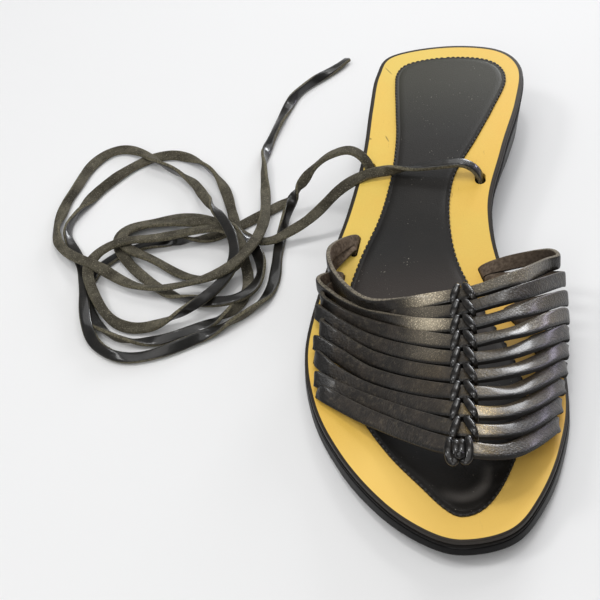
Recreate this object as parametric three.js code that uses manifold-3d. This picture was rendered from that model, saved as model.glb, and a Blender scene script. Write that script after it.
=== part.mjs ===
// Gladiator sandal for the right foot: a low wedge sole, a tan insole with a black sock,
// a vamp of ten leather strips laced together down the middle, and two long ankle ties.
// Millimetres, +Z up. The heel points to +Y, the toe to -Y and the big-toe (inner) side to +X.
import * as THREE from 'three';
import { mergeVertices } from 'three/addons/utils/BufferGeometryUtils.js';
import Module from 'manifold-3d';

const wasm = await Module();
wasm.setup();

// Main sizes of the sandal
const LENGTH = 250;            // insole, from the back of the heel to the tip of the toe
const BALL_WIDTH = 86;         // insole across the ball
const HEEL_HEIGHT = 28;        // floor to the top of the insole at the heel
const FOREFOOT_HEIGHT = 7.8;   // the same under the ball
const TOE_SPRING = 4.6;        // how far the sole's tip clears the floor
const ARCH_LIFT = 1.5;         // the same at the waist

// Place of the frame: the origin lies on the floor under the middle of the shoe's box
const LINE_X = 7.8;            // the heel-to-toe line, measured to the inner side
const MID_ALONG = 125.6;       // distance of the origin from the back of the heel

// Layers of the bottom, from the top down
const INSOLE_THICK = 2;
const MIDSOLE_THICK = 1.2;
const SOCK_THICK = 0.8;
const LAYER_GAP = 0.3;         // free space between neighbouring pieces
const EDGE_ROUND = 0.5;        // softened top edge of the insole and the sock
const INSOLE_BREAK = { out: 0.2, up: 0.3 };      // its lower edge
const MIDSOLE_LIP = 0.2;       // how far it shows beyond the insole
const SOLE_BEVEL = 0.9;        // softened bottom edge of the sole

// Vamp strips, in pairs that share a slot in the insole
const STRIPS = 10;
const STRIP_WIDTH = 5.4;       // in the slots
const STRIP_SHARE = 0.8;       // share of the vamp's length that its strips cover, the rest is gaps
const STRIP_THICK = 1.7;
const PAIR_GAP = 0.5;          // between the two strips of a pair inside their slot
const PAIR_STAGGER = { out: 2.2, rise: -1.2 };   // front strip of a pair against the rear one, at the root
const SLOT_CLEARANCE = 0.45;   // round the strips in a slot
// First pair's slot and the step to the next pair: distance from the heel and the turn away from the
// edge's own direction, in degrees; then the distance from the edge
const OUTER_SLOT = { side: -1, along: 117.5, pitch: 16.5, turn: 8, turnStep: 4, inset: 5.5 };
const INNER_SLOT = { side: 1, along: 134, pitch: 16.8, turn: 0, turnStep: 7, inset: 6.3 };
const TAIL = { depth: 0.75, rise: 1.4 };          // straight end of a strip, in its slot and above it

// Lace that is worked down the middle of the vamp
const LACE_RADIUS = 1;
const LACE_SPREAD = { apex: 0.5, foot: 3.2 };    // half the width of each inverted V
const SPINE = { width: 4.4, thick: 1.4, sink: 0.2 };   // the lace's run below the strips, let into them
const KNOT = { spread: 2.2, thick: 2.6 };        // the end loops, wrapped over the last strip

// Ankle ties
const TIE_DIAMETER = 3;
const TIE_HOLE = { long: 5, wide: 3.8 };
const INNER_TIE = { x: 11.5, along: 89 };
const OUTER_TIE = { x: -31, along: 81 };
const PILE_HEIGHT = 7;         // the heap of coiled tie beside the shoe
const PILE_LIFT = 0.2;         // its clearance from the floor

// Steps of the meshes
const STATIONS = 44;           // cross-sections along the sole
const STRIP_STEPS = 4;         // between two guide points of a strip
const TIE_SIDES = 8;
const TIE_STEP = 2.2;          // diameters between two rings of a tie
const SLOT_DEPTH = 12;         // a cutter reaches well past the insole

// Insole outline: half widths as shares of the ball width, at shares of the length
const OUTLINE = [
  { along: 0.020, inner: 0.220, outer: 0.250 },
  { along: 0.080, inner: 0.335, outer: 0.335 },
  { along: 0.180, inner: 0.315, outer: 0.370 },
  { along: 0.300, inner: 0.230, outer: 0.400 },
  { along: 0.420, inner: 0.160, outer: 0.465 },
  { along: 0.540, inner: 0.210, outer: 0.565 },
  { along: 0.660, inner: 0.385, outer: 0.615 },
  { along: 0.760, inner: 0.405, outer: 0.565 },
  { along: 0.860, inner: 0.350, outer: 0.435 },
  { along: 0.940, inner: 0.255, outer: 0.270 },
  { along: 0.985, inner: 0.160, outer: 0.120 },
];

// Sock outline, on its own length; its edge crosses the heel-to-toe line at the waist
const SOCK = { start: 10.5, end: 241 };
const SOCK_OUTLINE = [
  { along: 0.015, inner: 0.150, outer: 0.150 },
  { along: 0.050, inner: 0.255, outer: 0.240 },
  { along: 0.085, inner: 0.280, outer: 0.250 },
  { along: 0.160, inner: 0.220, outer: 0.246 },
  { along: 0.245, inner: 0.128, outer: 0.244 },
  { along: 0.345, inner: 0.012, outer: 0.271 },
  { along: 0.425, inner: -0.010, outer: 0.320 },
  { along: 0.500, inner: 0.012, outer: 0.400 },
  { along: 0.585, inner: 0.095, outer: 0.460 },
  { along: 0.670, inner: 0.195, outer: 0.475 },
  { along: 0.755, inner: 0.255, outer: 0.440 },
  { along: 0.820, inner: 0.255, outer: 0.368 },
  { along: 0.890, inner: 0.210, outer: 0.265 },
  { along: 0.952, inner: 0.145, outer: 0.140 },
  { along: 0.987, inner: 0.080, outer: 0.062 },
];

// Height of the insole's top above the forefoot, as shares of the heel's rise
const TOP_PROFILE = [
  { along: 0.00, rise: 1.000 },
  { along: 0.12, rise: 0.985 },
  { along: 0.25, rise: 0.900 },
  { along: 0.42, rise: 0.600 },
  { along: 0.54, rise: 0.230 },
  { along: 0.64, rise: 0.035 },
  { along: 0.72, rise: 0.000 },
  { along: 0.80, rise: 0.040 },
  { along: 0.90, rise: 0.140 },
  { along: 1.00, rise: 0.175 },
];

// Underside of the sole: flat under heel and ball, lifted at the waist and at the toe
const BOTTOM_PROFILE = [
  { along: 0.00, lift: 0 },
  { along: 0.38, lift: 0 },
  { along: 0.47, lift: ARCH_LIFT },
  { along: 0.56, lift: 0 },
  { along: 0.75, lift: 0 },
  { along: 0.87, lift: 0.36 * TOE_SPRING },
  { along: 1.00, lift: TOE_SPRING },
];

// How far the sole's edge stands outside the insole, at its foot and at its top
const SOLE_EDGE = [
  { along: 0.00, foot: -1.0, top: 0.2 },
  { along: 0.45, foot: -0.9, top: 0.2 },
  { along: 0.62, foot: 1.2, top: 0.6 },
  { along: 1.00, foot: 1.5, top: 0.8 },
];

// Guide points of five of the strips: x from the heel-to-toe line, distance from the heel, height.
// The outer root is measured from the strip's own slot instead: outward, ahead and up, with the turn of
// the strip onto its front edge, in degrees. The first two strips bulge out over the edge there.
const VAMP = {
  strips: [1, 2, 3, 6, 10],
  outerRoot: [
    { out: 5.0, ahead: 0.0, rise: 5.0, turn: 60 },
    { out: 5.0, ahead: 2.5, rise: 4.0, turn: 60 },
    { out: 2.5, ahead: 1.5, rise: 3.6, turn: 50 },
    { out: 1.0, ahead: 1.5, rise: 3.0, turn: 30 },
    { out: 0.5, ahead: 1.2, rise: 3.0, turn: 20 },
  ],
  outerShoulder: [
    { x: -44.5, along: 127.5, z: 23.5 },
    { x: -46.5, along: 135.0, z: 19.0 },
    { x: -43.0, along: 141.0, z: 15.4 },
    { x: -42.0, along: 160.5, z: 12.4 },
    { x: -40.5, along: 191.5, z: 11.8 },
  ],
  outerQuarter: [
    { x: -29.0, along: 149.0, z: 21.5 },
    { x: -29.0, along: 154.8, z: 19.0 },
    { x: -29.0, along: 160.2, z: 16.5 },
    { x: -29.0, along: 176.0, z: 14.0 },
    { x: -29.0, along: 203.0, z: 15.5 },
  ],
  crown: [
    { x: 1.2, along: 165.5, z: 32.6 },
    { x: 1.0, along: 172.7, z: 32.2 },
    { x: 0.9, along: 179.8, z: 31.9 },
    { x: 0.4, along: 201.3, z: 31.2 },
    { x: -0.5, along: 230.0, z: 30.4 },
  ],
  innerQuarter: [
    { x: 19.0, along: 162.0, z: 35.0 },
    { x: 18.6, along: 168.5, z: 34.2 },
    { x: 18.0, along: 175.2, z: 33.4 },
    { x: 16.4, along: 196.5, z: 31.2 },
    { x: 14.0, along: 227.0, z: 28.5 },
  ],
  innerShoulder: [
    { x: 35.5, along: 142.0, z: 25.5 },
    { x: 37.0, along: 148.5, z: 23.8 },
    { x: 37.5, along: 155.0, z: 22.4 },
    { x: 35.8, along: 175.0, z: 19.6 },
    { x: 27.5, along: 210.0, z: 16.5 },
  ],
};
const CROWN_INDEX = 5;         // place of the crown among a strip's guide points
const GUIDE_SPANS = 9;         // spans between a strip's guide points

// Routes of the ties where they are not coiled: x from the heel-to-toe line, distance from heel, height
const INNER_LEAD = [
  [11.5, 89, 21], [11.5, 89, 26], [8, 87.5, 28.6], [2, 86.5, 29.4], [-6, 87, 29.6], [-18, 89.5, 29.2],
  [-29, 90.5, 28.2], [-37, 89, 25], [-45, 87, 16], [-52, 87, 7.5], [-58, 88.5, 3.4], [-66.7, 94.4, 2.2],
];
const OUTER_LEAD = [
  [-31, 81, 22], [-31, 81, 26.5], [-32.5, 77, 29], [-38, 73.5, 28.6], [-44, 72, 23], [-51, 70, 13.5],
  [-57, 69.5, 5.5], [-62, 73.5, 2.4], [-66, 81, 2.2], [-71.6, 92.6, 2.2],
];
const FREE_END = [
  [-76.2, 89.4, 2.2], [-76, 80, 2.2], [-76, 67, 2.2], [-79, 49, 2.2], [-79, 29, 2.2], [-75, 9, 2.2],
  [-66, -8, 2.2], [-56, -20, 2.2], [-45, -33, 2.2],
];

// Outline of the heap of coiled tie, and how far its open middle is drawn in
const PILE_OUTLINE = [
  [-66, 96], [-66, 120], [-72, 138], [-88, 149], [-106, 160], [-121, 167], [-134, 159], [-145, 140],
  [-149, 116], [-162, 102], [-168.5, 88], [-169.5, 73], [-164, 50], [-157, 30], [-147, 23.5], [-136, 27],
  [-120, 32], [-106, 38.5], [-93, 55], [-85, 77], [-77, 91],
];
const PILE_HOLE = 0.42;

const MATERIALS = {
  sole: { color: 0x141315, roughness: 0.35, metalness: 0 },
  midsole: { color: 0x4a3526, roughness: 0.6, metalness: 0 },
  insole: { color: 0xe3b457, roughness: 0.45, metalness: 0 },
  sock: { color: 0x35322f, roughness: 0.5, metalness: 0 },
  strips: { color: 0x1d1a1c, roughness: 0.35, metalness: 0 },
  ties: { color: 0x26241f, roughness: 0.6, metalness: 0 },
};

const onFrame = (x, along, z) => new THREE.Vector3(LINE_X + x, MID_ALONG - along, z);

// A smooth curve through a table's rows; a level one never leaves the band between two rows
function curveThrough(at, value, level = false) {
  const step = at.slice(1).map((a, i) => a - at[i]);
  const slope = step.map((d, i) => (value[i + 1] - value[i]) / d);
  const lean = at.map((_, i) => {
    if (i === 0) return slope[0];
    if (i === at.length - 1) return slope[i - 1];
    if (level && slope[i - 1] * slope[i] <= 0) return 0;
    if (level) return 2 * slope[i - 1] * slope[i] / (slope[i - 1] + slope[i]);
    return (slope[i - 1] * step[i] + slope[i] * step[i - 1]) / (step[i - 1] + step[i]);
  });
  return (a) => {
    let i = 0;
    while (i < step.length - 1 && a > at[i + 1]) i += 1;
    const t = (a - at[i]) / step[i];
    const keep = (1 + 2 * t) * (1 - t) ** 2;
    const bend = t * (1 - t) * step[i];
    return keep * value[i] + (1 - keep) * value[i + 1] + bend * ((1 - t) * lean[i] - t * lean[i + 1]);
  };
}

const profile = (rows, column) =>
  curveThrough(rows.map((r) => r.along * LENGTH), rows.map((r) => r[column]), true);

const topRise = profile(TOP_PROFILE, 'rise');
const insoleTop = (along) => FOREFOOT_HEIGHT + (HEEL_HEIGHT - FOREFOOT_HEIGHT) * topRise(along);
const soleBottom = profile(BOTTOM_PROFILE, 'lift');
const edgeFoot = profile(SOLE_EDGE, 'foot');
const edgeTop = profile(SOLE_EDGE, 'top');

// Half widths read against the angle of a half turn, so that both ends of an outline come out round
function outlineOf(rows, start, end) {
  const turn = (share) => Math.acos(1 - 2 * share);
  const at = [0, ...rows.map((r) => turn(r.along)), Math.PI];
  const side = (column) => curveThrough(at, [0, ...rows.map((r) => r[column] * BALL_WIDTH), 0]);
  const inner = side('inner');
  const outer = side('outer');
  const place = (angle, sign) => {
    const x = sign > 0 ? inner(angle) : -outer(angle);
    return new THREE.Vector2(x, start + (end - start) * (1 - Math.cos(angle)) / 2);
  };
  // A point of the edge moved outward by a distance, square to the edge
  const moved = (angle, sign, outward) => {
    const nudge = 1e-3;
    const point = place(angle, sign);
    const before = place(Math.max(0, angle - nudge), sign);
    const after = place(Math.min(Math.PI, angle + nudge), sign);
    const run = after.sub(before).normalize();
    const normal = new THREE.Vector2(sign * run.y, -sign * run.x);
    if (angle < nudge) normal.set(0, -1);
    if (angle > Math.PI - nudge) normal.set(0, 1);
    return point.addScaledVector(normal, outward);
  };
  const angleAt = (along) => Math.acos(1 - 2 * (along - start) / (end - start));
  return { moved, angleAt };
}

const insoleEdge = outlineOf(OUTLINE, 0, LENGTH);
const sockEdge = outlineOf(SOCK_OUTLINE, SOCK.start, SOCK.end);

// A geometry with shared corners, without flattened triangles and facing outward
function closedGeometry(points, triangles) {
  const raw = new THREE.BufferGeometry();
  raw.setAttribute('position', new THREE.Float32BufferAttribute(points.flatMap((p) => [p.x, p.y, p.z]), 3));
  raw.setIndex(triangles.flat());
  const merged = mergeVertices(raw, 1e-4);
  const position = merged.getAttribute('position');
  const corner = (i) => new THREE.Vector3().fromBufferAttribute(position, i);
  const index = merged.getIndex().array;
  const kept = [];
  let volume = 0;
  for (let i = 0; i < index.length; i += 3) {
    const [a, b, c] = index.slice(i, i + 3);
    if (a === b || b === c || c === a) continue;
    kept.push([a, b, c]);
    volume += corner(a).dot(corner(b).cross(corner(c)));
  }
  merged.setIndex((volume < 0 ? kept.map(([a, b, c]) => [a, c, b]) : kept).flat());
  return merged;
}

// A layer of the bottom: rings round an outline, stacked upward, with both faces closed across
function layer(edge, rings) {
  const points = [];
  const sides = [1, -1];
  for (let j = 0; j <= STATIONS; j += 1) {
    const angle = Math.PI * j / STATIONS;
    for (const ring of rings) {
      for (const sign of sides) {
        const base = edge.moved(angle, sign, 0);
        const spot = edge.moved(angle, sign, ring.out(base.y));
        points.push(onFrame(spot.x, spot.y, ring.z(base.y)));
      }
    }
  }
  const at = (j, ring, side) => (j * rings.length + ring) * sides.length + side;
  const triangles = [];
  const quad = (a, b, c, d) => triangles.push([a, b, c], [a, c, d]);
  const last = rings.length - 1;
  for (let j = 0; j < STATIONS; j += 1) {
    for (let ring = 0; ring < last; ring += 1) {
      quad(at(j, ring, 0), at(j + 1, ring, 0), at(j + 1, ring + 1, 0), at(j, ring + 1, 0));
      quad(at(j, ring, 1), at(j, ring + 1, 1), at(j + 1, ring + 1, 1), at(j + 1, ring, 1));
    }
    quad(at(j, 0, 0), at(j, 0, 1), at(j + 1, 0, 1), at(j + 1, 0, 0));
    quad(at(j, last, 0), at(j + 1, last, 0), at(j + 1, last, 1), at(j, last, 1));
  }
  return closedGeometry(points, triangles);
}

// A flat band carried along frames that give its middle, its full width as a vector and its upward side
function band(frames, thick) {
  const corners = [[-1, -1], [1, -1], [1, 1], [-1, 1]];
  const points = frames.flatMap(({ centre, over, up }) => corners.map(([a, b]) =>
    centre.clone().addScaledVector(over, a / 2).addScaledVector(up, b * thick / 2)));
  const triangles = [];
  const quad = (a, b, c, d) => triangles.push([a, b, c], [a, c, d]);
  const ring = corners.length;
  for (let i = 0; i < frames.length - 1; i += 1) {
    for (let k = 0; k < ring; k += 1) {
      const next = (k + 1) % ring;
      quad(i * ring + k, i * ring + next, (i + 1) * ring + next, (i + 1) * ring + k);
    }
  }
  const end = (frames.length - 1) * ring;
  quad(3, 2, 1, 0);
  quad(end, end + 1, end + 2, end + 3);
  return closedGeometry(points, triangles);
}

// A round cord along a smooth curve through its points
function cord(points, diameter, sides, steps) {
  const section = new THREE.Shape();
  for (let k = 0; k < sides; k += 1) {
    const angle = 2 * Math.PI * (k + 0.5) / sides;
    const spot = [Math.cos(angle) * diameter / 2, Math.sin(angle) * diameter / 2];
    if (k === 0) section.moveTo(...spot);
    else section.lineTo(...spot);
  }
  section.closePath();
  const extrudePath = new THREE.CatmullRomCurve3(points, false, 'centripetal');
  return new THREE.ExtrudeGeometry(section, { steps, extrudePath });
}

// Conversion between meshes and solids that can be joined and cut
function solidOf(geometry) {
  const bare = geometry.clone();
  bare.deleteAttribute('normal');
  bare.deleteAttribute('uv');
  const merged = mergeVertices(bare, 1e-4);
  return new wasm.Manifold(new wasm.Mesh({
    numProp: 3,
    vertProperties: new Float32Array(merged.getAttribute('position').array),
    triVerts: new Uint32Array(merged.getIndex().array),
  }));
}

function geometryOf(solid) {
  const mesh = solid.getMesh();
  const geometry = new THREE.BufferGeometry();
  geometry.setAttribute('position', new THREE.Float32BufferAttribute(mesh.vertProperties, 3));
  geometry.setIndex(new THREE.Uint32BufferAttribute(mesh.triVerts, 1));
  return geometry;
}

const joined = (geometries) => geometries.map(solidOf).reduce((sum, part) => sum.add(part));

// A slot of the insole: its middle on the insole, and its run along the nearby edge
function slotAt(row, pair) {
  const angle = insoleEdge.angleAt(row.along + row.pitch * pair);
  const middle = insoleEdge.moved(angle, row.side, -row.inset);
  const ahead = insoleEdge.moved(angle + 0.02, row.side, -row.inset);
  const turn = THREE.MathUtils.degToRad(-row.side * (row.turn + row.turnStep * pair));
  return { middle, run: ahead.sub(middle).normalize().rotateAround(new THREE.Vector2(), turn) };
}

// Guide points of a lengthwise line of a strip's leather, from the outer slot over the crown to the
// inner slot. A line off the strip's middle has a number a little below or above the strip's own.
function stripGuides(strip, number) {
  const guide = (name) => {
    const value = (column) => curveThrough(VAMP.strips, VAMP[name].map((r) => r[column]))(number);
    return onFrame(value('x'), value('along'), value('z'));
  };
  const root = (column) => curveThrough(VAMP.strips, VAMP.outerRoot.map((r) => r[column]))(strip);
  const pair = Math.floor((strip - 1) / 2);
  const pairSide = strip - 2 * pair - 1.5;
  const across = (number - strip) * STRIP_WIDTH / STRIP_SHARE;
  const fromSlot = (row, rise, outward = 0, ahead = 0, turn = 0) => {
    const { middle, run } = slotAt(row, pair);
    const angle = THREE.MathUtils.degToRad(turn);
    const shift = pairSide * (STRIP_WIDTH + PAIR_GAP) + ahead + across * Math.cos(angle);
    const spot = middle.clone().addScaledVector(run, shift);
    spot.addScaledVector(new THREE.Vector2(run.y, -run.x), row.side * outward);
    return onFrame(spot.x, spot.y, insoleTop(middle.y) + rise - across * Math.sin(angle));
  };
  const out = root('out') + pairSide * PAIR_STAGGER.out;
  const rise = root('rise') + pairSide * PAIR_STAGGER.rise;
  return [
    fromSlot(OUTER_SLOT, -TAIL.depth),
    fromSlot(OUTER_SLOT, TAIL.rise),
    fromSlot(OUTER_SLOT, rise, out, root('ahead'), root('turn')),
    guide('outerShoulder'),
    guide('outerQuarter'),
    guide('crown'),
    guide('innerQuarter'),
    guide('innerShoulder'),
    fromSlot(INNER_SLOT, TAIL.rise),
    fromSlot(INNER_SLOT, -TAIL.depth),
  ];
}

// Middle of a strip at a share of its way, with the run of the leather, the vector from its rear edge
// to its front edge, and its outward side
function stripFrame(strip, share) {
  const [rear, front] = [-1, 1].map((side) => {
    const guides = stripGuides(strip, strip + side * STRIP_SHARE / 2);
    return new THREE.CatmullRomCurve3(guides, false, 'centripetal');
  });
  const over = front.getPoint(share).sub(rear.getPoint(share));
  const run = rear.getTangent(share).add(front.getTangent(share)).normalize();
  const up = new THREE.Vector3().crossVectors(over, run).normalize();
  const centre = rear.getPoint(share).addScaledVector(over, 0.5);
  return { centre, run, over, up };
}

function strip(number) {
  const frames = [stripFrame(number, 0)];
  const steps = (GUIDE_SPANS - 2) * STRIP_STEPS;
  for (let i = 0; i <= steps; i += 1) {
    frames.push(stripFrame(number, (1 + (GUIDE_SPANS - 2) * i / steps) / GUIDE_SPANS));
  }
  frames.push(stripFrame(number, 1));
  return band(frames, STRIP_THICK);
}

// A spot near a strip's crown: millimetres sideways, shares of the strip's width ahead, millimetres up
function crownSpot(number) {
  const { centre, run, over, up } = stripFrame(number, CROWN_INDEX / GUIDE_SPANS);
  return (sideways, ahead, rise) => centre.clone()
    .addScaledVector(run, sideways).addScaledVector(over, ahead).addScaledVector(up, rise);
}

// The lace on one strip: two legs of an inverted V that dive into the gaps before and behind it
function laceLegs(number) {
  const spot = crownSpot(number);
  const face = STRIP_THICK / 2;
  const half = 0.5 / STRIP_SHARE;
  const { apex, foot } = LACE_SPREAD;
  return [-1, 1].map((sign) => cord([
    spot(sign * apex, -half, -face - SPINE.thick / 2),
    spot(sign * apex, -0.8 * half, face + 0.6 * LACE_RADIUS),
    spot(sign * (apex + foot) / 2, 0, face + 0.8 * LACE_RADIUS),
    spot(sign * foot, 0.8 * half, face + 0.5 * LACE_RADIUS),
    spot(sign * foot, half, -face),
  ], 2 * LACE_RADIUS, 6, 5));
}

// The two end loops of the lace, wrapped over the front edge of the last strip
function laceLoops() {
  const spot = crownSpot(STRIPS);
  const face = STRIP_THICK / 2 + 0.6 * LACE_RADIUS;
  return [-1, 1].map((sign) => cord([
    spot(sign * KNOT.spread, -0.3, face),
    spot(sign * KNOT.spread, 0.35, face),
    spot(sign * KNOT.spread, 0.75, 0),
    spot(sign * KNOT.spread / 2, 0.45, -face),
    spot(sign * KNOT.spread / 2, 0, -face),
  ], KNOT.thick, 8, 6));
}

// The lace's run below the strips, from the first to the last
function laceSpine() {
  const frames = [];
  const drop = (STRIP_THICK + SPINE.thick) / 2 - SPINE.sink;
  for (let number = 1; number <= STRIPS; number += 1) {
    const { centre, run, over, up } = stripFrame(number, CROWN_INDEX / GUIDE_SPANS);
    const reach = { 1: -0.5, [STRIPS]: 0.5 }[number] ?? 0;
    centre.addScaledVector(up, -drop).addScaledVector(over, reach);
    frames.push({ centre, over: run.multiplyScalar(SPINE.width), up });
  }
  return band(frames, SPINE.thick);
}

function upper() {
  const numbers = Array.from({ length: STRIPS }, (_, i) => i + 1);
  return geometryOf(joined([
    laceSpine(),
    ...numbers.map(strip),
    ...numbers.slice(0, -1).flatMap(laceLegs),
    ...laceLoops(),
  ]));
}

// A cutter for a slot or a hole, standing upright through the insole
function slotCutter(middle, run, long, wide) {
  const cutter = new THREE.BoxGeometry(long, wide, SLOT_DEPTH);
  cutter.rotateZ(Math.atan2(-run.y, run.x));
  const spot = onFrame(middle.x, middle.y, insoleTop(middle.y));
  return cutter.translate(spot.x, spot.y, spot.z);
}

function insole() {
  const rings = [
    { out: () => -INSOLE_BREAK.out, z: (a) => insoleTop(a) - INSOLE_THICK },
    { out: () => 0, z: (a) => insoleTop(a) - INSOLE_THICK + INSOLE_BREAK.up },
    { out: () => 0, z: (a) => insoleTop(a) - EDGE_ROUND },
    { out: () => -EDGE_ROUND, z: insoleTop },
  ];
  const long = 2 * STRIP_WIDTH + PAIR_GAP + 2 * SLOT_CLEARANCE;
  const wide = STRIP_THICK + 2 * SLOT_CLEARANCE;
  const cutters = [];
  for (let pair = 0; pair < STRIPS / 2; pair += 1) {
    for (const row of [OUTER_SLOT, INNER_SLOT]) {
      const { middle, run } = slotAt(row, pair);
      cutters.push(slotCutter(middle, run, long, wide));
    }
  }
  for (const tie of [INNER_TIE, OUTER_TIE]) {
    const middle = new THREE.Vector2(tie.x, tie.along);
    cutters.push(slotCutter(middle, new THREE.Vector2(0, 1), TIE_HOLE.long, TIE_HOLE.wide));
  }
  const blank = solidOf(layer(insoleEdge, rings));
  return geometryOf(cutters.map(solidOf).reduce((rest, cutter) => rest.subtract(cutter), blank));
}

function sock() {
  const base = (a) => insoleTop(a) + LAYER_GAP;
  return layer(sockEdge, [
    { out: () => 0, z: base },
    { out: () => 0, z: (a) => base(a) + SOCK_THICK - EDGE_ROUND },
    { out: () => -EDGE_ROUND, z: (a) => base(a) + SOCK_THICK },
  ]);
}

function midsole() {
  const top = (a) => insoleTop(a) - INSOLE_THICK - LAYER_GAP;
  return layer(insoleEdge, [
    { out: () => MIDSOLE_LIP, z: (a) => top(a) - MIDSOLE_THICK },
    { out: () => MIDSOLE_LIP, z: top },
  ]);
}

function sole() {
  const top = (a) => insoleTop(a) - INSOLE_THICK - MIDSOLE_THICK - 2 * LAYER_GAP;
  return layer(insoleEdge, [
    { out: (a) => edgeFoot(a) - SOLE_BEVEL, z: soleBottom },
    { out: edgeFoot, z: (a) => soleBottom(a) + SOLE_BEVEL },
    { out: edgeTop, z: (a) => top(a) - SOLE_BEVEL / 2 },
    { out: (a) => edgeTop(a) - SOLE_BEVEL / 2, z: top },
  ]);
}

function tie(route) {
  const points = route.map(([x, along, z]) => onFrame(x, along, z));
  const length = new THREE.CatmullRomCurve3(points, false, 'centripetal').getLength();
  return cord(points, TIE_DIAMETER, TIE_SIDES, Math.round(length / (TIE_STEP * TIE_DIAMETER)));
}

// The heap of coiled tie: a low ring that follows the heap's outline
function tiePile() {
  const points = PILE_OUTLINE.map(([x, along]) => onFrame(x, along, 0));
  const curve = new THREE.CatmullRomCurve3(points, true, 'centripetal');
  const outline = curve.getPoints(2 * points.length).slice(0, -1);
  const middle = outline.reduce((sum, p) => sum.add(p), new THREE.Vector3()).divideScalar(outline.length);
  const flat = (scale) => outline.map((p) =>
    new THREE.Vector2().copy(p).sub(middle).multiplyScalar(scale).add(middle));
  const shape = new THREE.Shape(flat(1));
  shape.holes.push(new THREE.Path(flat(PILE_HOLE).reverse()));
  const heap = new THREE.ExtrudeGeometry(shape, { depth: PILE_HEIGHT, bevelEnabled: false, steps: 1 });
  return heap.translate(0, 0, PILE_LIFT);
}

const PIECES = [
  { name: 'wedge_sole', finish: 'sole', geometry: sole() },
  { name: 'midsole', finish: 'midsole', geometry: midsole() },
  { name: 'insole', finish: 'insole', geometry: insole() },
  { name: 'sock', finish: 'sock', geometry: sock() },
  { name: 'upper', finish: 'strips', geometry: upper() },
  { name: 'tie_inner_lead', finish: 'ties', geometry: tie(INNER_LEAD) },
  { name: 'tie_outer_lead', finish: 'ties', geometry: tie(OUTER_LEAD) },
  { name: 'tie_free_end', finish: 'ties', geometry: tie(FREE_END) },
  { name: 'tie_pile', finish: 'ties', geometry: tiePile() },
];

const sandal = new THREE.Group();
for (const { name, finish, geometry } of PIECES) {
  const mesh = new THREE.Mesh(geometry, new THREE.MeshStandardMaterial(MATERIALS[finish]));
  mesh.name = name;
  sandal.add(mesh);
}

export default sandal;
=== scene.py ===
"""Look of a right-foot gladiator sandal: black wedge sole, tan insole with a black sock,
a vamp of leather strips laced together down the middle, and two long ankle ties beside it."""
import math

import bmesh
import bpy
import numpy as np
from mathutils import Matrix, Vector


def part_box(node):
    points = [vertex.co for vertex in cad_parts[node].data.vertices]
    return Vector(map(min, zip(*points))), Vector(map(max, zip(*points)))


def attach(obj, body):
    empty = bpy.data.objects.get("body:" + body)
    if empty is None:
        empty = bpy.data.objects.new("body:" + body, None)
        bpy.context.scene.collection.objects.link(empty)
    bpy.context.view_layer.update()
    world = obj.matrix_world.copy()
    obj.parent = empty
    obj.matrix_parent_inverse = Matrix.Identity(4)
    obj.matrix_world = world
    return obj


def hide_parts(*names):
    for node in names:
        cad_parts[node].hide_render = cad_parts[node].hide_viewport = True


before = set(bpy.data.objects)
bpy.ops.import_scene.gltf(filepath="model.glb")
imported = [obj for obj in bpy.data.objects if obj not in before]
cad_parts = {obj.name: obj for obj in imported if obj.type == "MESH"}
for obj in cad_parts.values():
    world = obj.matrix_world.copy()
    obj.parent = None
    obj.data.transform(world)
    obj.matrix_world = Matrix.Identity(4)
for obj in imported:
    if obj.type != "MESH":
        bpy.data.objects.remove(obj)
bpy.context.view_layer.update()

bl_info = {
    "name": "Gladiator sandal",
    "version": (1, 0, 0),
    "blender": (4, 5, 0),
    "location": "View3D > Sidebar > Sandal",
    "description": "Dresses the packed sandal with leather strips, lace, ankle ties and a smooth bottom",
    "category": "Object",
}

MM = 0.001
BODY = "root"
UPRIGHT = np.array([0.0, 0.0, 1.0])
# Points nearer than this are merged, and faces thinner than this are taken out, metres
WELD = 1e-7
SLIVER = 1e-8

# The shoe in the frame, millimetres: x of its heel-to-toe line, and the heel's distance behind the origin
LINE_X = 7.8
MID_ALONG = 125.6

# Insole outline: half widths as shares of the ball width, at shares of the length
OUTLINE = {
    "along": (0.02, 0.08, 0.18, 0.30, 0.42, 0.54, 0.66, 0.76, 0.86, 0.94, 0.985),
    "inner": (0.255, 0.365, 0.337, 0.248, 0.175, 0.223, 0.400, 0.421, 0.367, 0.272, 0.168),
    "outer": (0.272, 0.347, 0.375, 0.402, 0.466, 0.568, 0.620, 0.573, 0.450, 0.286, 0.130),
}
# Sock outline on its own length, from its start to its end
SOCK_REACH = (10.5, 241.0)
SOCK_OUTLINE = {
    "along": (0.015, 0.05, 0.085, 0.16, 0.245, 0.345, 0.425, 0.5, 0.585, 0.67, 0.755, 0.82, 0.89,
              0.952, 0.987),
    "inner": (0.195, 0.272, 0.283, 0.220, 0.128, 0.012, -0.010, 0.012, 0.095, 0.195, 0.255, 0.255, 0.210,
              0.145, 0.080),
    "outer": (0.190, 0.246, 0.250, 0.246, 0.244, 0.271, 0.320, 0.400, 0.460, 0.475, 0.440, 0.368, 0.265,
              0.140, 0.062),
}
# Painted highlight in an arc round a soft dent that a toe has left in the sock, whose shape stays flat:
# middle and half axes in the frame, millimetres
TOE_DENT = {"middle": (8.0, -98.5), "reach": (8.0, 10.0)}

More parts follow.
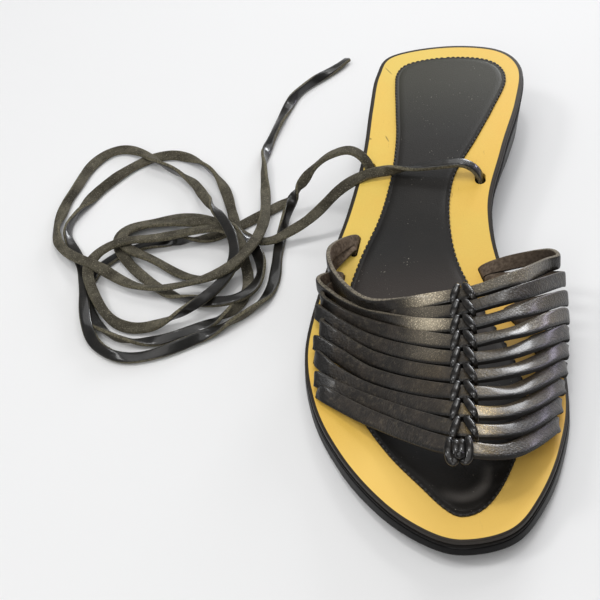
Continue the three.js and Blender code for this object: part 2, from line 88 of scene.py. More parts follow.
# Insole top above the forefoot as shares of the heel's rise, sole underside, and the sole's edge
TOP_PROFILE = {
    "along": (0.0, 0.12, 0.25, 0.42, 0.54, 0.64, 0.72, 0.80, 0.90, 1.0),
    "rise": (1.0, 0.985, 0.90, 0.60, 0.23, 0.035, 0.0, 0.04, 0.14, 0.175),
}
BOTTOM_PROFILE = {
    "along": (0.0, 0.38, 0.47, 0.56, 0.75, 0.87, 1.0),
    "arch": (0.0, 0.0, 1.0, 0.0, 0.0, 0.0, 0.0),
    "spring": (0.0, 0.0, 0.0, 0.0, 0.0, 0.36, 1.0),
}
SOLE_EDGE = {
    "along": (0.0, 0.45, 0.62, 1.0),
    "foot": (-1.0, -0.9, 0.7, 0.7),
    "top": (0.2, 0.2, 0.3, 0.3),
}
# How far the wedge's inner wall leans in at its foot
WAIST_LEAN = {
    "along": (0.0, 0.08, 0.25, 0.42, 0.58, 1.0),
    "inset": (0.0, 1.2, 3.4, 3.0, 0.4, 0.0),
}

# Layers of the bottom, millimetres: thicknesses, and the gap that parts the wedge from the insole's layers
INSOLE_THICK = 2.0
MIDSOLE_THICK = 1.2
LAYER_GAP = 0.3
# Wedge: how far in the rim of its underside reaches, radius of its foot, how far below the top its wall
# ends, and the top edge as steps inwards and down
WEDGE = {"rim": 6, "foot": 0.9, "wall_end": 0.6, "edge": ((0.12, 0.25), (0.5, 0.0))}
# Midsole: the gaps below and above it, and its edge as steps outwards and in from its faces
MIDSOLE_GAPS = (0.2, 0.05)
MIDSOLE_EDGE = ((-1.2, 0.0), (0.15, 0.1), (0.25, 0.4))
# Insole: its lower edge as steps outwards and up, radius of its upper edge, and where its flat top starts
INSOLE_EDGE = ((-1.0, 0.0), (-0.15, 0.0), (0.0, 0.2))
INSOLE_ROUND = 0.5
INSOLE_FLAT = 3
# Dark rim on the insole's top: width at distances from the heel, and steps inwards over which it fades
RIM = {"along": (60.0, 130.0, 200.0, 250.0), "width": (1.6, 1.4, 0.9, 0.7)}
RIM_FADE = ((0.0, 0.7), (0.2, 0.2), (0.45, 0.0))
# Sock: top above the insole, depth that it is sunk in, steps of its foot, radius and drop of its edge, and
# the groove of the stitches and the top beside it as steps inwards, depth and mark
SOCK = {"top": 0.95, "sunk": 0.05, "foot": (0.6, 0.0), "round": 0.55, "edge_drop": 0.1}
SOCK_GROOVE = ((1.2, 0.16, 0.4), (1.5, 0.22, 0.3), (1.8, 0.16, 0.2), (2.6, 0.0, 0.0), (4.0, 0.0, 0.0))
# Slots: room that they leave round the strips, length and width of the ties' slots, how far the punch
# reaches up and down, and the angle above which a cut edge stays sharp
SLOT_ROOM = {"long": 1.2, "wide": 1.0}
TIE_SLOT = (6.2, 4.2)
PUNCH_REACH = 6
CUT_ANGLE = math.radians(50)

# Vamp: number of strips, their pitch down the lace, and the gap of a pair; then, for each side, the slot of
# the first pair and the steps to the next pair
STRIPS = 10
STRIP_PITCH = 7.2
PAIR_GAP = 0.5
OUTER_SLOT = {
    "side": -1, "along": 117.0, "pitch": 17.0, "turn": -6.6, "turn_step": 7.5,
    "inset": 7.8, "inset_step": -0.9, "share": 0.74, "gap": 0.0,
}
INNER_SLOT = {
    "side": 1, "along": 134.0, "pitch": 16.8, "turn": 0, "turn_step": 7,
    "inset": 7.5, "inset_step": 0.0, "share": 1.0, "gap": PAIR_GAP,
}
# Ends of the strips: how deep they stand in their slots, and how high above them they are still upright
TAIL = {"depth": 0.75, "rise": 1.6}
# Spans over which a strip widens from its outer root. Its waves: spans over which they start and stop, and
# each wave's size, length and turn by strip
ROOT_WIDENS = (1.0, 2.0)
STRIP_WAVES = {"from": (1.45, 2.7), "to": (6.2, 7.0), "waves": ((0.22, 9.0, 1.7), (0.14, 4.3, 2.9))}
# Lace: its shift from the crowns to the inner side, the way its faces look, the thickness of legs and
# loops, the side and the spread of the two legs, and the middle of the end loops
LACE_SHIFT = 1.4
LACE_FACE = np.array([0.0, -0.4, 1.0])
LEG_THICK = 1.3
LOOP_THICK = 1.7
LEG_SPREAD = ((-1, 1.6), (1, 2.8))
LOOP_MIDDLE = -0.9
# The lace's run below the strips: its width, and its drop below their undersides
SPINE = {"width": 4.4, "drop": 0.5}

# Painted highlight, a pale speckle in place of the gloss's reflections, strip by strip, with the place of
# each patch in spans from the crown and its reach: beside the lace on its outer and its inner side, and
# before the inner turn
PAINTED_HIGHLIGHT = (
    {"shift": -0.31, "reach": 0.19, "strips": (1.4, 0.35, 1.9, 0.4, 0.3, 0.1, 0.05, 0.0, 0.0, 0.0)},
    {"shift": 0.45, "reach": 0.31, "strips": (0.4, 0.1, 0.1, 0.15, 0.15, 0.2, 0.25, 1.6, 1.0, 0.5)},
    {"shift": 1.3, "reach": 0.5, "strips": (0.55, 0.05, 0.25, 0.4, 0.1, 0.15, 0.1, 0.1, 0.0, 0.05)},
)

# Scratches on the insole: x from the heel-to-toe line, distance from the heel, turn in degrees, length and
# width
SCRATCHES = (
    (-24.6, 17.2, -62.0, 8.0, 0.6),
    (-31.6, 63.6, -40.0, 2.2, 1.4),
    (-24.6, 64.2, -70.0, 5.0, 0.7),
)

# How pale the rear cut edge of each strip is; the same share darkens the grain face of the palest strips as
# painted shade
RAW_EDGE = (1.0, 0.6, 1.0, 0.35, 0.3, 0.35, 0.3, 0.3, 0.35, 0.3)

# Guide points of the strips: place in millimetres, and the tilt of the strip in degrees, front edge down
EVERY_STRIP = tuple(range(1, STRIPS + 1))
SOME_STRIPS = (1, 2, 3, 6, 10)
GUIDES = {
    "outer root": {
        "strips": EVERY_STRIP,
        "x": (-44.5, -45.0, -48.6, -47.0, -49.0, -47.0, -49.0, -48.0, -47.8, -45.5),
        "along": (132.5, 131.5, 142.0, 147.5, 152.0, 159.0, 165.5, 172.5, 182.0, 188.5),
        "z": (24.2, 17.2, 18.8, 16.0, 14.5, 13.0, 12.2, 11.5, 11.2, 11.0),
        "tilt": (60, 60, 82, 66, 48, 40, 36, 34, 30, 28),
    },
    "outer shoulder": {
        "strips": EVERY_STRIP,
        "x": (-42.4, -41.0, -42.4, -41.9, -41.8, -41.5, -41.2, -40.9, -40.6, -40.3),
        "along": (144.0, 144.0, 147.8, 152.5, 158.0, 164.0, 172.0, 180.5, 187.5, 193.0),
        "z": (23.6, 17.6, 16.4, 14.0, 13.2, 12.4, 12.2, 11.4, 11.6, 11.6),
        "tilt": (88, 80, 84, 52, 38, 34, 34, 30, 26, 24),
    },
    "outer quarter": {
        "strips": EVERY_STRIP,
        "x": (-28.7, -29.0, -29.0, -29.0, -28.9, -28.8, -28.6, -28.3, -28.2, -27.9),
        "along": (157.0, 156.4, 158.8, 162.6, 169.0, 176.2, 184.4, 191.8, 197.8, 204.6),
        "z": (21.8, 17.8, 17.6, 16.0, 14.8, 14.4, 14.6, 14.2, 15.2, 15.5),
        "tilt": (88, 66, 80, 42, 32, 30, 34, 26, 26, 24),
    },
    "crown": {
        "strips": SOME_STRIPS,
        "x": (1.2, 1.0, 0.9, 0.4, -0.5),
        "along": (165.5, 172.7, 179.8, 201.3, 230.0),
        "z": (32.6, 32.2, 31.9, 31.2, 30.4),
        "tilt": (6, 6, 6, 6, 6),
    },
    "inner quarter": {
        "strips": SOME_STRIPS,
        "x": (19.0, 18.6, 18.0, 16.4, 14.0),
        "along": (162.0, 168.6, 176.0, 199.3, 229.6),
        "z": (35.0, 34.2, 32.9, 29.8, 27.8),
        "tilt": (12, 8, -8, -14, -8),
    },
    "inner shoulder": {
        "strips": SOME_STRIPS,
        "x": (32.8, 36.6, 37.2, 35.8, 30.0),
        "along": (143.2, 148.2, 155.2, 176.8, 208.4),
        "z": (24.6, 22.0, 19.8, 16.4, 14.8),
        "tilt": (70, 48, 32, 0, -8),
    },
    "inner turn": {
        "strips": SOME_STRIPS,
        "x": (36.6, 38.0, 38.2, 36.3, 30.6),
        "along": (139.8, 145.4, 153.2, 175.8, 206.6),
        "z": (23.2, 19.6, 17.4, 14.2, 12.7),
        "tilt": (78, 50, 32, 0, -8),
    },
    "inner return": {
        "strips": SOME_STRIPS,
        "x": (34.2, 36.4, 36.2, 35.0, 29.8),
        "along": (134.8, 142.6, 150.8, 174.0, 205.4),
        "z": (21.4, 17.4, 15.2, 12.4, 11.2),
        "tilt": (70, 44, 30, 2, -4),
    },
}
# Spans of a strip's course, which has two more points at each slot, the crown's place in it, and the step
# to either side of the crown, as a share of the course, that gives its run
SPANS = len(GUIDES) + 3
CROWN = 2 + list(GUIDES).index("crown")
NEAR_STEP = 1e-3

# Ankle ties, millimetres: middles of their slots, their leads as x from the heel-to-toe line, distance from
# the heel and height, and their turns on the floor as x and distance
INNER_TIE_HOLE = (11.5, 89.0)
OUTER_TIE_HOLE = (-31.0, 81.0)
INNER_LEAD = (
    (12.2, 89.1, 20.5), (11.1, 88.9, 24.4), (8.8, 88.3, 27.4), (5.4, 87.7, 29.2), (0.6, 87.3, 29.6),
    (-11.0, 87.0, 27.8), (-25.0, 86.0, 26.3), (-32.3, 85.8, 25.4), (-38.5, 88.0, 23.6), (-43.8, 89.0, 20.6),
    (-48.5, 91.8, 16.4), (-54.0, 93.5, 11.6), (-59.5, 94.8, 7.6), (-65.5, 96.6, 5.4),
)
INNER_FLOOR = (
    (-71, 99.2), (-76.6, 99.2), (-83, 95.4), (-90, 89), (-97, 84), (-106, 78), (-115, 78), (-122, 81),
    (-129, 82), (-135, 85), (-137, 91), (-135, 98), (-131, 105), (-126, 111), (-120, 117), (-111, 125),
    (-103, 130), (-95, 133), (-86, 135), (-79, 132), (-75, 123), (-74, 113), (-77, 105), (-82, 98),
    (-90, 92), (-98, 87), (-106, 84), (-114, 83), (-120, 83.6), (-126.4, 84.4), (-132, 87.6), (-134.6, 94),
    (-132, 100.6), (-126, 104), (-119, 106.6), (-111, 112), (-102, 118), (-94, 120), (-87, 119), (-82, 114),
    (-82, 106), (-87, 98), (-95, 95), (-108, 94), (-121, 97), (-134, 100), (-142, 104), (-145, 111),
    (-142, 121),
    (-137, 131), (-131, 139), (-124, 144), (-115, 145), (-105, 142), (-95, 136), (-88, 126), (-84, 115),
    (-85, 106), (-89, 97), (-96, 84), (-103, 70), (-109, 57), (-116, 49), (-125, 43), (-131, 38),
    (-138, 31), (-147, 27), (-154, 31), (-159, 40), (-161, 53), (-164, 65), (-165, 78), (-164, 87),
    (-160, 96), (-154, 103), (-147, 109), (-138, 114), (-132, 118), (-124, 122), (-115, 125), (-104, 126),
    (-95, 125), (-87, 122), (-81, 115), (-78, 106.5), (-76, 97), (-75.4, 85), (-76.7, 70), (-78.8, 55),
    (-80.2, 42), (-79.4, 31), (-77.2, 20.7), (-74.3, 7), (-70.2, -6.6), (-65.1, -14.8), (-58.4, -22.1),
    (-45.8, -37.6),
)
OUTER_LEAD = (
    (-30.6, 81.2, 21.0), (-31.5, 80.8, 25.0), (-33.7, 79.8, 28.7), (-37.6, 78.3, 31.1), (-42.2, 76.9, 31.1),
    (-46.6, 75.8, 28.8), (-50.8, 75.0, 25.0), (-55.4, 74.5, 19.8), (-59.8, 74.8, 14.2), (-63.6, 76.5, 8.8),
    (-66.2, 80.0, 4.8), (-67.6, 85.0, 2.4),
)
OUTER_FLOOR = (
    (-68, 92), (-69, 100), (-69, 109), (-69, 120), (-71, 130), (-78, 139), (-86, 145), (-95, 151),
    (-106, 157), (-116, 160), (-124, 160), (-133, 154), (-139, 144), (-143, 129), (-146, 115), (-150, 104),
    (-155, 95), (-160, 86), (-159, 78), (-157, 70), (-153, 61), (-147, 52), (-141, 43), (-133, 36),
    (-125, 34), (-115, 36), (-106, 44), (-99, 53), (-94, 64), (-91, 75), (-87, 89), (-84, 102),
    (-80, 114), (-79, 124), (-81, 134), (-88, 141), (-98, 147), (-107, 151), (-117, 152), (-127, 150),
    (-136, 141), (-142, 129), (-144, 118), (-143, 110), (-138, 104), (-133, 99), (-124, 95), (-114, 94),
    (-104, 94), (-96, 92), (-91, 89), (-87, 86), (-80, 81), (-74, 76), (-65, 69),
)
# Distances along the ties where they turn their other face up
INNER_FLIPS = (26, 215, 280, 540, 610, 930)
OUTER_FLIPS = (-60, 30, 240, 430, 560)
# Slow waves in the ties' twist: radians, wave length and phase
INNER_WAVES = ((0.9, 110, 1.1), (0.5, 47, 0.3))
OUTER_WAVES = ((0.8, 95, 0.4), (0.55, 41, 2.0))
# How the ties lie: room above the floor, at last and while they are laid; widths within which two runs
# cross, apart from a run's own next widths; widths that a lift reaches, its slope along the tie, and the
# passes
FLOOR_ROOM = 0.2
LAID_ROOM = 0.25
CROSSING = 1.05
OWN_RUN = 4
LIFT_REACH = 1.1
LIFT_SLOPE = 0.22
PASSES = 12

# Stage, metres: half the floor's side, the camera's sensor in millimetres and its near clip, and the light
# of the world
FLOOR_HALF = 3.0
SENSOR = 36
NEAR_CLIP = 0.01
WORLD_LIGHT = 0.255
# Lights: name, place and side in metres, watts and tint
WHITE = (1.0, 1.0, 1.0)
LIGHTS = (
    ("overhead_softbox", (0.0, -0.15, 1.15), 1.0, 3.9, WHITE),
    ("top_window", (-0.05, 0.04, 1.1), 0.12, 1.3, WHITE),
    ("front_softbox", (-0.15, -0.9, 0.8), 0.6, 2.85, WHITE),
    ("back_softbox", (0.1, 0.85, 0.7), 0.5, 1.25, WHITE),
    ("left_window", (-0.62, -0.1, 0.88), 0.22, 1.6, WHITE),
    ("back_right_window", (0.26, 0.64, 0.86), 0.2, 0.9, WHITE),
    ("far_right_window", (0.38, 1.04, 0.33), 0.3, 4.6, (0.94, 0.96, 1.0)),
    ("low_right_window", (0.8, 0.8, 0.2), 0.16, 0.8, (0.82, 0.76, 1.0)),
)


def srgb(red, green, blue):
    """Linear colour from screen values out of 255."""
    share = np.array((red, green, blue)) / 255
    return tuple(np.where(share <= 0.04045, share / 12.92, ((share + 0.055) / 1.055) ** 2.4))


def measure(name, description, value):
    """A length property with its default."""
    return bpy.props.FloatProperty(name=name, description=description, unit="LENGTH", default=value)


def colour(name, description, value):
    """A colour property with its default."""
    return bpy.props.FloatVectorProperty(
        name=name, description=description, subtype="COLOR", size=3, min=0, max=1, default=value)


INSOLE_LOW, INSOLE_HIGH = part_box("insole")


class SandalSizes(bpy.types.PropertyGroup):
    """Sizes that a maker would change."""
    length: measure("Length", "Insole from heel to toe", INSOLE_HIGH[1] - INSOLE_LOW[1])
    ball_width: measure("Ball width", "Width that the outline's shares refer to", 0.086)
    heel_height: measure("Heel height", "Floor to the insole's top at the heel", INSOLE_HIGH[2])
    forefoot_height: measure("Forefoot height", "The same under the ball", 0.0078)
    toe_spring: measure("Toe spring", "Lift of the sole's tip", 0.0046)
    arch_lift: measure("Arch", "Lift of the sole at the waist", 0.0015)
    strip_width: measure("Strip width", "Width of one leather strip", 0.0054)
    strip_thick: measure("Strip thickness", "Thickness of the strip leather", 0.0017)
    tie_width: measure("Tie width", "Width of the flat ankle tie", 0.0043)
    tie_thick: measure("Tie thickness", "Thickness of the ankle tie", 0.0019)
    lace_width: measure("Lace width", "Width of the lace worked down the vamp", 0.0026)


class SandalColours(bpy.types.PropertyGroup):
    """Colours of the finishes."""
    strip: colour("Strip", "Grain side of the strips", srgb(34, 30, 26))
    strip_edge: colour("Strip edge", "Cut edge of the strips", srgb(142, 133, 116))
    flesh: colour("Flesh side", "Suede underside of the strips", srgb(124, 108, 92))
    insole: colour("Insole", "Tan of the insole", srgb(236, 205, 98))
    insole_warm: colour("Insole, warm", "Deeper tan in its patches", srgb(243, 184, 72))
    insole_rim: colour("Insole rim", "Burnished edge line", srgb(36, 29, 20))
    midsole: colour("Midsole", "Dark brown layer under the insole", srgb(22, 18, 15))
    sock: colour("Sock", "Satin black of the sock", srgb(14, 12, 10))
    sole: colour("Sole", "Glossy black edge paint", srgb(10, 9, 9))
    tie: colour("Tie", "Waxed face of the ankle ties", srgb(15, 14, 12))
    tie_edge: colour("Tie edge", "Raw edge of the ankle ties", srgb(118, 112, 92))
    floor: colour("Floor", "Pale floor", srgb(239, 239, 239))


class SandalStage(bpy.types.PropertyGroup):
    """Camera and light."""
    lens: bpy.props.FloatProperty(
        name="Lens", description="Focal length on a 36 mm sensor", unit="CAMERA", default=72.2)
    eye: bpy.props.FloatVectorProperty(
        name="Eye", description="Place of the camera", subtype="TRANSLATION", size=3, precision=4,
        default=(0.00847, -0.33814, 0.30956))
    target: bpy.props.FloatVectorProperty(
        name="Target", description="Point of the floor that the camera looks at", subtype="TRANSLATION",
        size=3, default=(-0.0507, -0.00429, 0.0))
    roll: bpy.props.FloatProperty(
        name="Roll", description="Turn of the camera about its view", subtype="ANGLE",
        default=math.radians(-8.97))


def curve_through(at, value, level=False):
    """Cubic through the rows of a table: each span is a Hermite piece whose end slopes are the weighted
    mean of its neighbours' slopes, or their harmonic mean on a level curve, which then stays within the
    rows."""
    at = np.asarray(at, float)
    value = np.asarray(value, float)
    step = np.diff(at)
    slope = np.diff(value) / step
    before, after = slope[:-1], slope[1:]
    mean = (before * step[1:] + after * step[:-1]) / (step[:-1] + step[1:])
    if level:
        alike = before * after > 0
        mean = np.where(alike, 2 * before * after / np.where(alike, before + after, 1), 0)
    lean = np.concatenate([slope[:1], mean, slope[-1:]])

    def read(place):
        place = np.asarray(place, float)
        i = np.clip(np.searchsorted(at, place) - 1, 0, len(step) - 1)
        t = (place - at[i]) / step[i]
        keep = (1 + 2 * t) * (1 - t) ** 2
        bend = t * (1 - t) * step[i]
        return keep * value[i] + (1 - keep) * value[i + 1] + bend * ((1 - t) * lean[i] - t * lean[i + 1])

    return read


def centripetal(points, share):
    """Centripetal Catmull-Rom curve through the points; equal shares of the way belong to each span.
    Each span is a Hermite piece, and its slopes weigh the neighbours by the roots of the distances."""
    points = np.asarray(points, float)
    chain = np.vstack([2 * points[:1] - points[1:2], points, 2 * points[-1:] - points[-2:-1]])
    spot = np.clip(share, 0, 1) * (len(points) - 1)
    i = np.minimum(spot.astype(int), len(points) - 2)
    w = (spot - i)[:, None]
    a, b, c, d = (chain[i + k] for k in range(4))
    pairs = ((a, b), (b, c), (c, d))
    ab, bc, cd = (np.sqrt(np.linalg.norm(q - p, axis=1))[:, None] for p, q in pairs)
    lean_b = ((b - a) / ab - (c - a) / (ab + bc) + (c - b) / bc) * bc
    lean_c = ((c - b) / bc - (d - b) / (bc + cd) + (d - c) / cd) * bc
    keep = (1 + 2 * w) * (1 - w) ** 2
    return keep * b + (1 - keep) * c + w * (1 - w) * ((1 - w) * lean_b - w * lean_c)


def unit(vectors):
    """Vectors of length one."""
    return vectors / np.linalg.norm(vectors, axis=-1, keepdims=True)


def tangents(points):
    """Direction of a path at each of its points, from the points before and after."""
    return unit(np.gradient(points, axis=0))


def distances(points):
    """Way along a polyline to each of its points: the running sum of its steps."""
    return np.concatenate([[0], np.cumsum(np.linalg.norm(np.diff(points, axis=0), axis=1))])


def smoothstep(value, low, high):
    """0 below low, 1 above high, and a smooth ramp between."""
    share = np.clip((value - low) / (high - low), 0, 1)
    return share * share * (3 - 2 * share)


def resampled(points, step):
    """A path of even steps along a polyline, and the way to each of its points."""
    run = distances(points)
    count = max(2, int(round(run[-1] / step)) + 1)
    at = np.linspace(0, run[-1], count)
    return np.stack([np.interp(at, run, points[:, k]) for k in range(3)], axis=-1), at


def softened(values, width, hold=0):
    """Running mean with a bell-shaped weight, its width in rows; the first rows are held as they are."""
    reach = int(3 * width)
    weight = np.exp(-0.5 * (np.arange(-reach, reach + 1) / width) ** 2)
    weight = weight / weight.sum()
    columns = values.reshape(len(values), -1)
    padded = np.pad(columns, ((reach, reach), (0, 0)), mode="edge")
    mean = np.stack([np.convolve(column, weight, "valid") for column in padded.T], axis=-1)
    free = smoothstep(np.arange(len(values)), hold, hold + 2 * width)[:, None]
    return (columns + (mean - columns) * free).reshape(values.shape)


def on_frame(x, along, z):
    """Millimetres from the heel-to-toe line, from the heel and from the floor, in the frame's directions."""
    x, along, z = np.broadcast_arrays(x, along, z)
    return np.stack([LINE_X + x, MID_ALONG - along, z], axis=-1)


class Outline:
    """A closed edge read against the angle of a half turn: at an angle the edge is at half (1 - cosine) of
    its length, and each side's half width is a cubic in the angle, so that both ends come out round."""
    # Step of the angle to either side that gives the edge's direction
    NUDGE = 1e-3

    def __init__(self, table, start, end, ball_width):
        at = np.concatenate([[0], np.arccos(1 - 2 * np.array(table["along"])), [np.pi]])
        self.start = start
        self.end = end
        self.half = {
            side: curve_through(at, np.concatenate([[0], np.array(table[name]) * ball_width, [0]]))
            for side, name in ((1, "inner"), (-1, "outer"))
        }

    def place(self, angle, side):
        """Points of one side, 1 the inner and -1 the outer: half width and distance from the heel."""
        along = self.start + (self.end - self.start) * (1 - np.cos(angle)) / 2
        return np.stack([side * self.half[side](angle), along], axis=-1)

    def moved(self, angle, side, outward):
        """Points of one side, moved square to the edge."""
        angle = np.asarray(angle, float)
        ahead = self.place(np.minimum(angle + self.NUDGE, np.pi), side)
        behind = self.place(np.maximum(angle - self.NUDGE, 0), side)
        run = unit(ahead - behind)
        normal = np.stack([side * run[..., 1], -side * run[..., 0]], axis=-1)
        normal[angle < self.NUDGE] = (0, -1)
        normal[angle > np.pi - self.NUDGE] = (0, 1)
        return self.place(angle, side) + normal * np.asarray(outward, float)[..., None]

    def angle_at(self, along):
        """The angle whose half (1 - cosine) is this distance's share of the length."""
        return np.arccos(1 - 2 * (along - self.start) / (self.end - self.start))


class Last:
    """The bottom's curves, worked out from the sizes, in millimetres."""
    # Step of the outline's angle that gives a slot's run
    SLOT_STEP = 0.02

    def __init__(self, sizes):
        length = sizes.length / MM
        width = sizes.ball_width / MM
        heel, ball = sizes.heel_height / MM, sizes.forefoot_height / MM
        lift = sizes.arch_lift / MM * np.array(BOTTOM_PROFILE["arch"])
        lift = lift + sizes.toe_spring / MM * np.array(BOTTOM_PROFILE["spring"])

        def profile(table, values):
            return curve_through(np.array(table["along"]) * length, values, True)

        rise = profile(TOP_PROFILE, TOP_PROFILE["rise"])
        self.insole_top = lambda along: ball + (heel - ball) * rise(along)
        self.sole_bottom = profile(BOTTOM_PROFILE, lift)
        self.edge_foot = profile(SOLE_EDGE, SOLE_EDGE["foot"])
        self.edge_top = profile(SOLE_EDGE, SOLE_EDGE["top"])
        self.waist_lean = profile(WAIST_LEAN, WAIST_LEAN["inset"])
        self.insole_edge = Outline(OUTLINE, 0, length, width)
        self.sock_edge = Outline(SOCK_OUTLINE, *SOCK_REACH, width)

    def slot(self, row, pair):
        """Middle of a slot and its run along the nearby edge, turned as the row says."""
        angle = self.insole_edge.angle_at(row["along"] + row["pitch"] * pair)
        inset = row["inset"] + row["inset_step"] * pair
        middle = self.insole_edge.moved(angle, row["side"], -inset)
        ahead = self.insole_edge.moved(angle + self.SLOT_STEP, row["side"], -inset)
        turn = math.radians(-row["side"] * (row["turn"] + row["turn_step"] * pair))
        cos, sin = math.cos(turn), math.sin(turn)
        x, along = unit(ahead - middle)
        return middle, np.array([x * cos - along * sin, x * sin + along * cos])


def layer(last, outline, rings, stations=260, across=14):
    """Closed grid of a flat layer: at each angle of the outline a section climbs the inner side through the
    rings, crosses the top, comes down the outer side and returns below. Heel and toe sections shrink to a
    line. For distances from the heel and a side, a ring is its distance outside the outline, its height, and
    a mark that is kept for the finish."""
    angle = np.linspace(0, np.pi, stations + 1)
    share = np.linspace(0, 1, across + 2)[1:-1]

    def climb(side):
        along = outline.place(angle, side)[:, 1]
        points, marks = [], []
        for outward, height, mark in rings(last, along, side):
            spot = outline.moved(angle, side, np.broadcast_to(outward, along.shape))
            points.append(on_frame(spot[:, 0], spot[:, 1], height))
            marks.append(mark)
        return points, marks

    inner, marks = climb(1)
    outer = climb(-1)[0][::-1]
    top = [inner[-1] + (outer[0] - inner[-1]) * s for s in share]
    below = [outer[-1] + (inner[0] - outer[-1]) * s for s in share]
    section = marks + [marks[-1]] * across + marks[::-1] + [marks[0]] * across
    grid = np.stack(inner + top + outer + below, axis=1)
    return grid, np.broadcast_to(section, grid.shape[:2])


def quarter_round(radius, height, steps=5):
    """Rings of a rounded upper edge: a quarter circle from the side to the top."""
    turns = np.linspace(0, np.pi / 2, steps)
    return [(radius * (math.cos(t) - 1), height + radius * (math.sin(t) - 1), 1.0) for t in turns]


def band_section(width, thick, points, corner, crown=0.0):
    """Section of a flat lace: a superellipse, so that its corners are round, with a raised middle on its
    upper side. The third column tells the upper side, 1, from the edges, 0, and the lower side, -1."""
    angle = 2 * np.pi * (np.arange(points) + 0.5) / points
    across = np.sign(np.cos(angle)) * np.abs(np.cos(angle)) ** corner
    height = np.sign(np.sin(angle)) * np.abs(np.sin(angle)) ** corner
    lifted = height * thick / 2 + crown * (1 - across ** 2) * (height > 0)
    return np.stack([across * width / 2, lifted, height], axis=-1)


def carried(path, over, up, section, breadth=1.0):
    """Grid of a section carried along a path, closed by a point at each end. Its directions over and up, and
    the breadth that stretches it sideways, may change along the way."""
    across = section[:, 0] * np.broadcast_to(breadth, len(path))[:, None]
    grid = path[:, None] + over[:, None] * across[..., None] + up[:, None] * section[:, 1:2]
    ends = [np.repeat(path[k][None, None], len(section), axis=1) for k in (0, -1)]
    grid = np.concatenate([ends[0], grid, ends[1]])
    return grid, np.broadcast_to(section[:, 2], grid.shape[:2])


def piece(name, grids, finish, mark_name, tones=None):
    """One object from closed grids, each a table of points whose columns run round. Its corners carry a UV
    map with millimetres along the rows and a share round the columns, and its points a mark and any named
    tones."""
    tones = tones or {}
    points, faces, uvs = [], [], []
    values = {label: [] for label in (mark_name, *tones)}
    start = 0
    for k, (grid, mark) in enumerate(grids):
        rows, columns = grid.shape[:2]
        i, j = np.meshgrid(np.arange(rows - 1), np.arange(columns), indexing="ij")
        corners = ((i, j), (i, j + 1), (i + 1, j + 1), (i + 1, j))
        quads = [start + r * columns + c % columns for r, c in corners]
        faces.append(np.stack(quads, axis=-1).reshape(-1, 4))
        run = distances(grid.mean(axis=1))
        corner_uvs = [np.stack([run[r], c / columns], axis=-1) for r, c in corners]
        uvs.append(np.stack(corner_uvs, axis=2).reshape(-1, 2))
        points.append(grid.reshape(-1, 3))
        values[mark_name].append(np.asarray(mark, float).reshape(-1))
        for label, tone in tones.items():
            values[label].append(np.broadcast_to(tone[k], (rows, columns)).reshape(-1))
        start += rows * columns
    mesh = bpy.data.meshes.new(name)
    mesh.from_pydata((np.concatenate(points) * MM).tolist(), [], np.concatenate(faces).tolist())
    mesh.uv_layers.new(name="Leather").data.foreach_set("uv", np.concatenate(uvs).ravel())
    for label, value in values.items():
        mesh.attributes.new(label, "FLOAT", "POINT").data.foreach_set("value", np.concatenate(value))
    shell = bmesh.new()
    shell.from_mesh(mesh)
    bmesh.ops.remove_doubles(shell, verts=shell.verts, dist=WELD)
    bmesh.ops.dissolve_degenerate(shell, edges=shell.edges, dist=SLIVER)
    bmesh.ops.recalc_face_normals(shell, faces=shell.faces)
    shell.to_mesh(mesh)
    shell.free()
    mesh.shade_smooth()
    mesh.materials.append(finish)
    made = bpy.data.objects.new(name, mesh)
    bpy.context.scene.collection.objects.link(made)
    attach(made, BODY)
    return made


class Socket:
    """One output of a shader node. Arithmetic on it adds Math nodes to its finish."""

    def __init__(self, finish, output):
        self.finish = finish
        self.output = output

    def _math(self, operation, *values):
        return self.finish.node("ShaderNodeMath", {"operation": operation}, dict(enumerate(values)))

    def __add__(self, other):
        return self._math("ADD", self, other)

    __radd__ = __add__

    def __sub__(self, other):
        return self._math("SUBTRACT", self, other)

    def __rsub__(self, other):
        return self._math("SUBTRACT", other, self)

    def __mul__(self, other):
        return self._math("MULTIPLY", self, other)

    __rmul__ = __mul__

    def ramp(self, low, high):
        """0 at low, 1 at high, smooth between."""
        inputs = {"Value": self, "From Min": low, "From Max": high}
        return self.finish.node("ShaderNodeMapRange", {"interpolation_type": "SMOOTHSTEP"}, inputs)


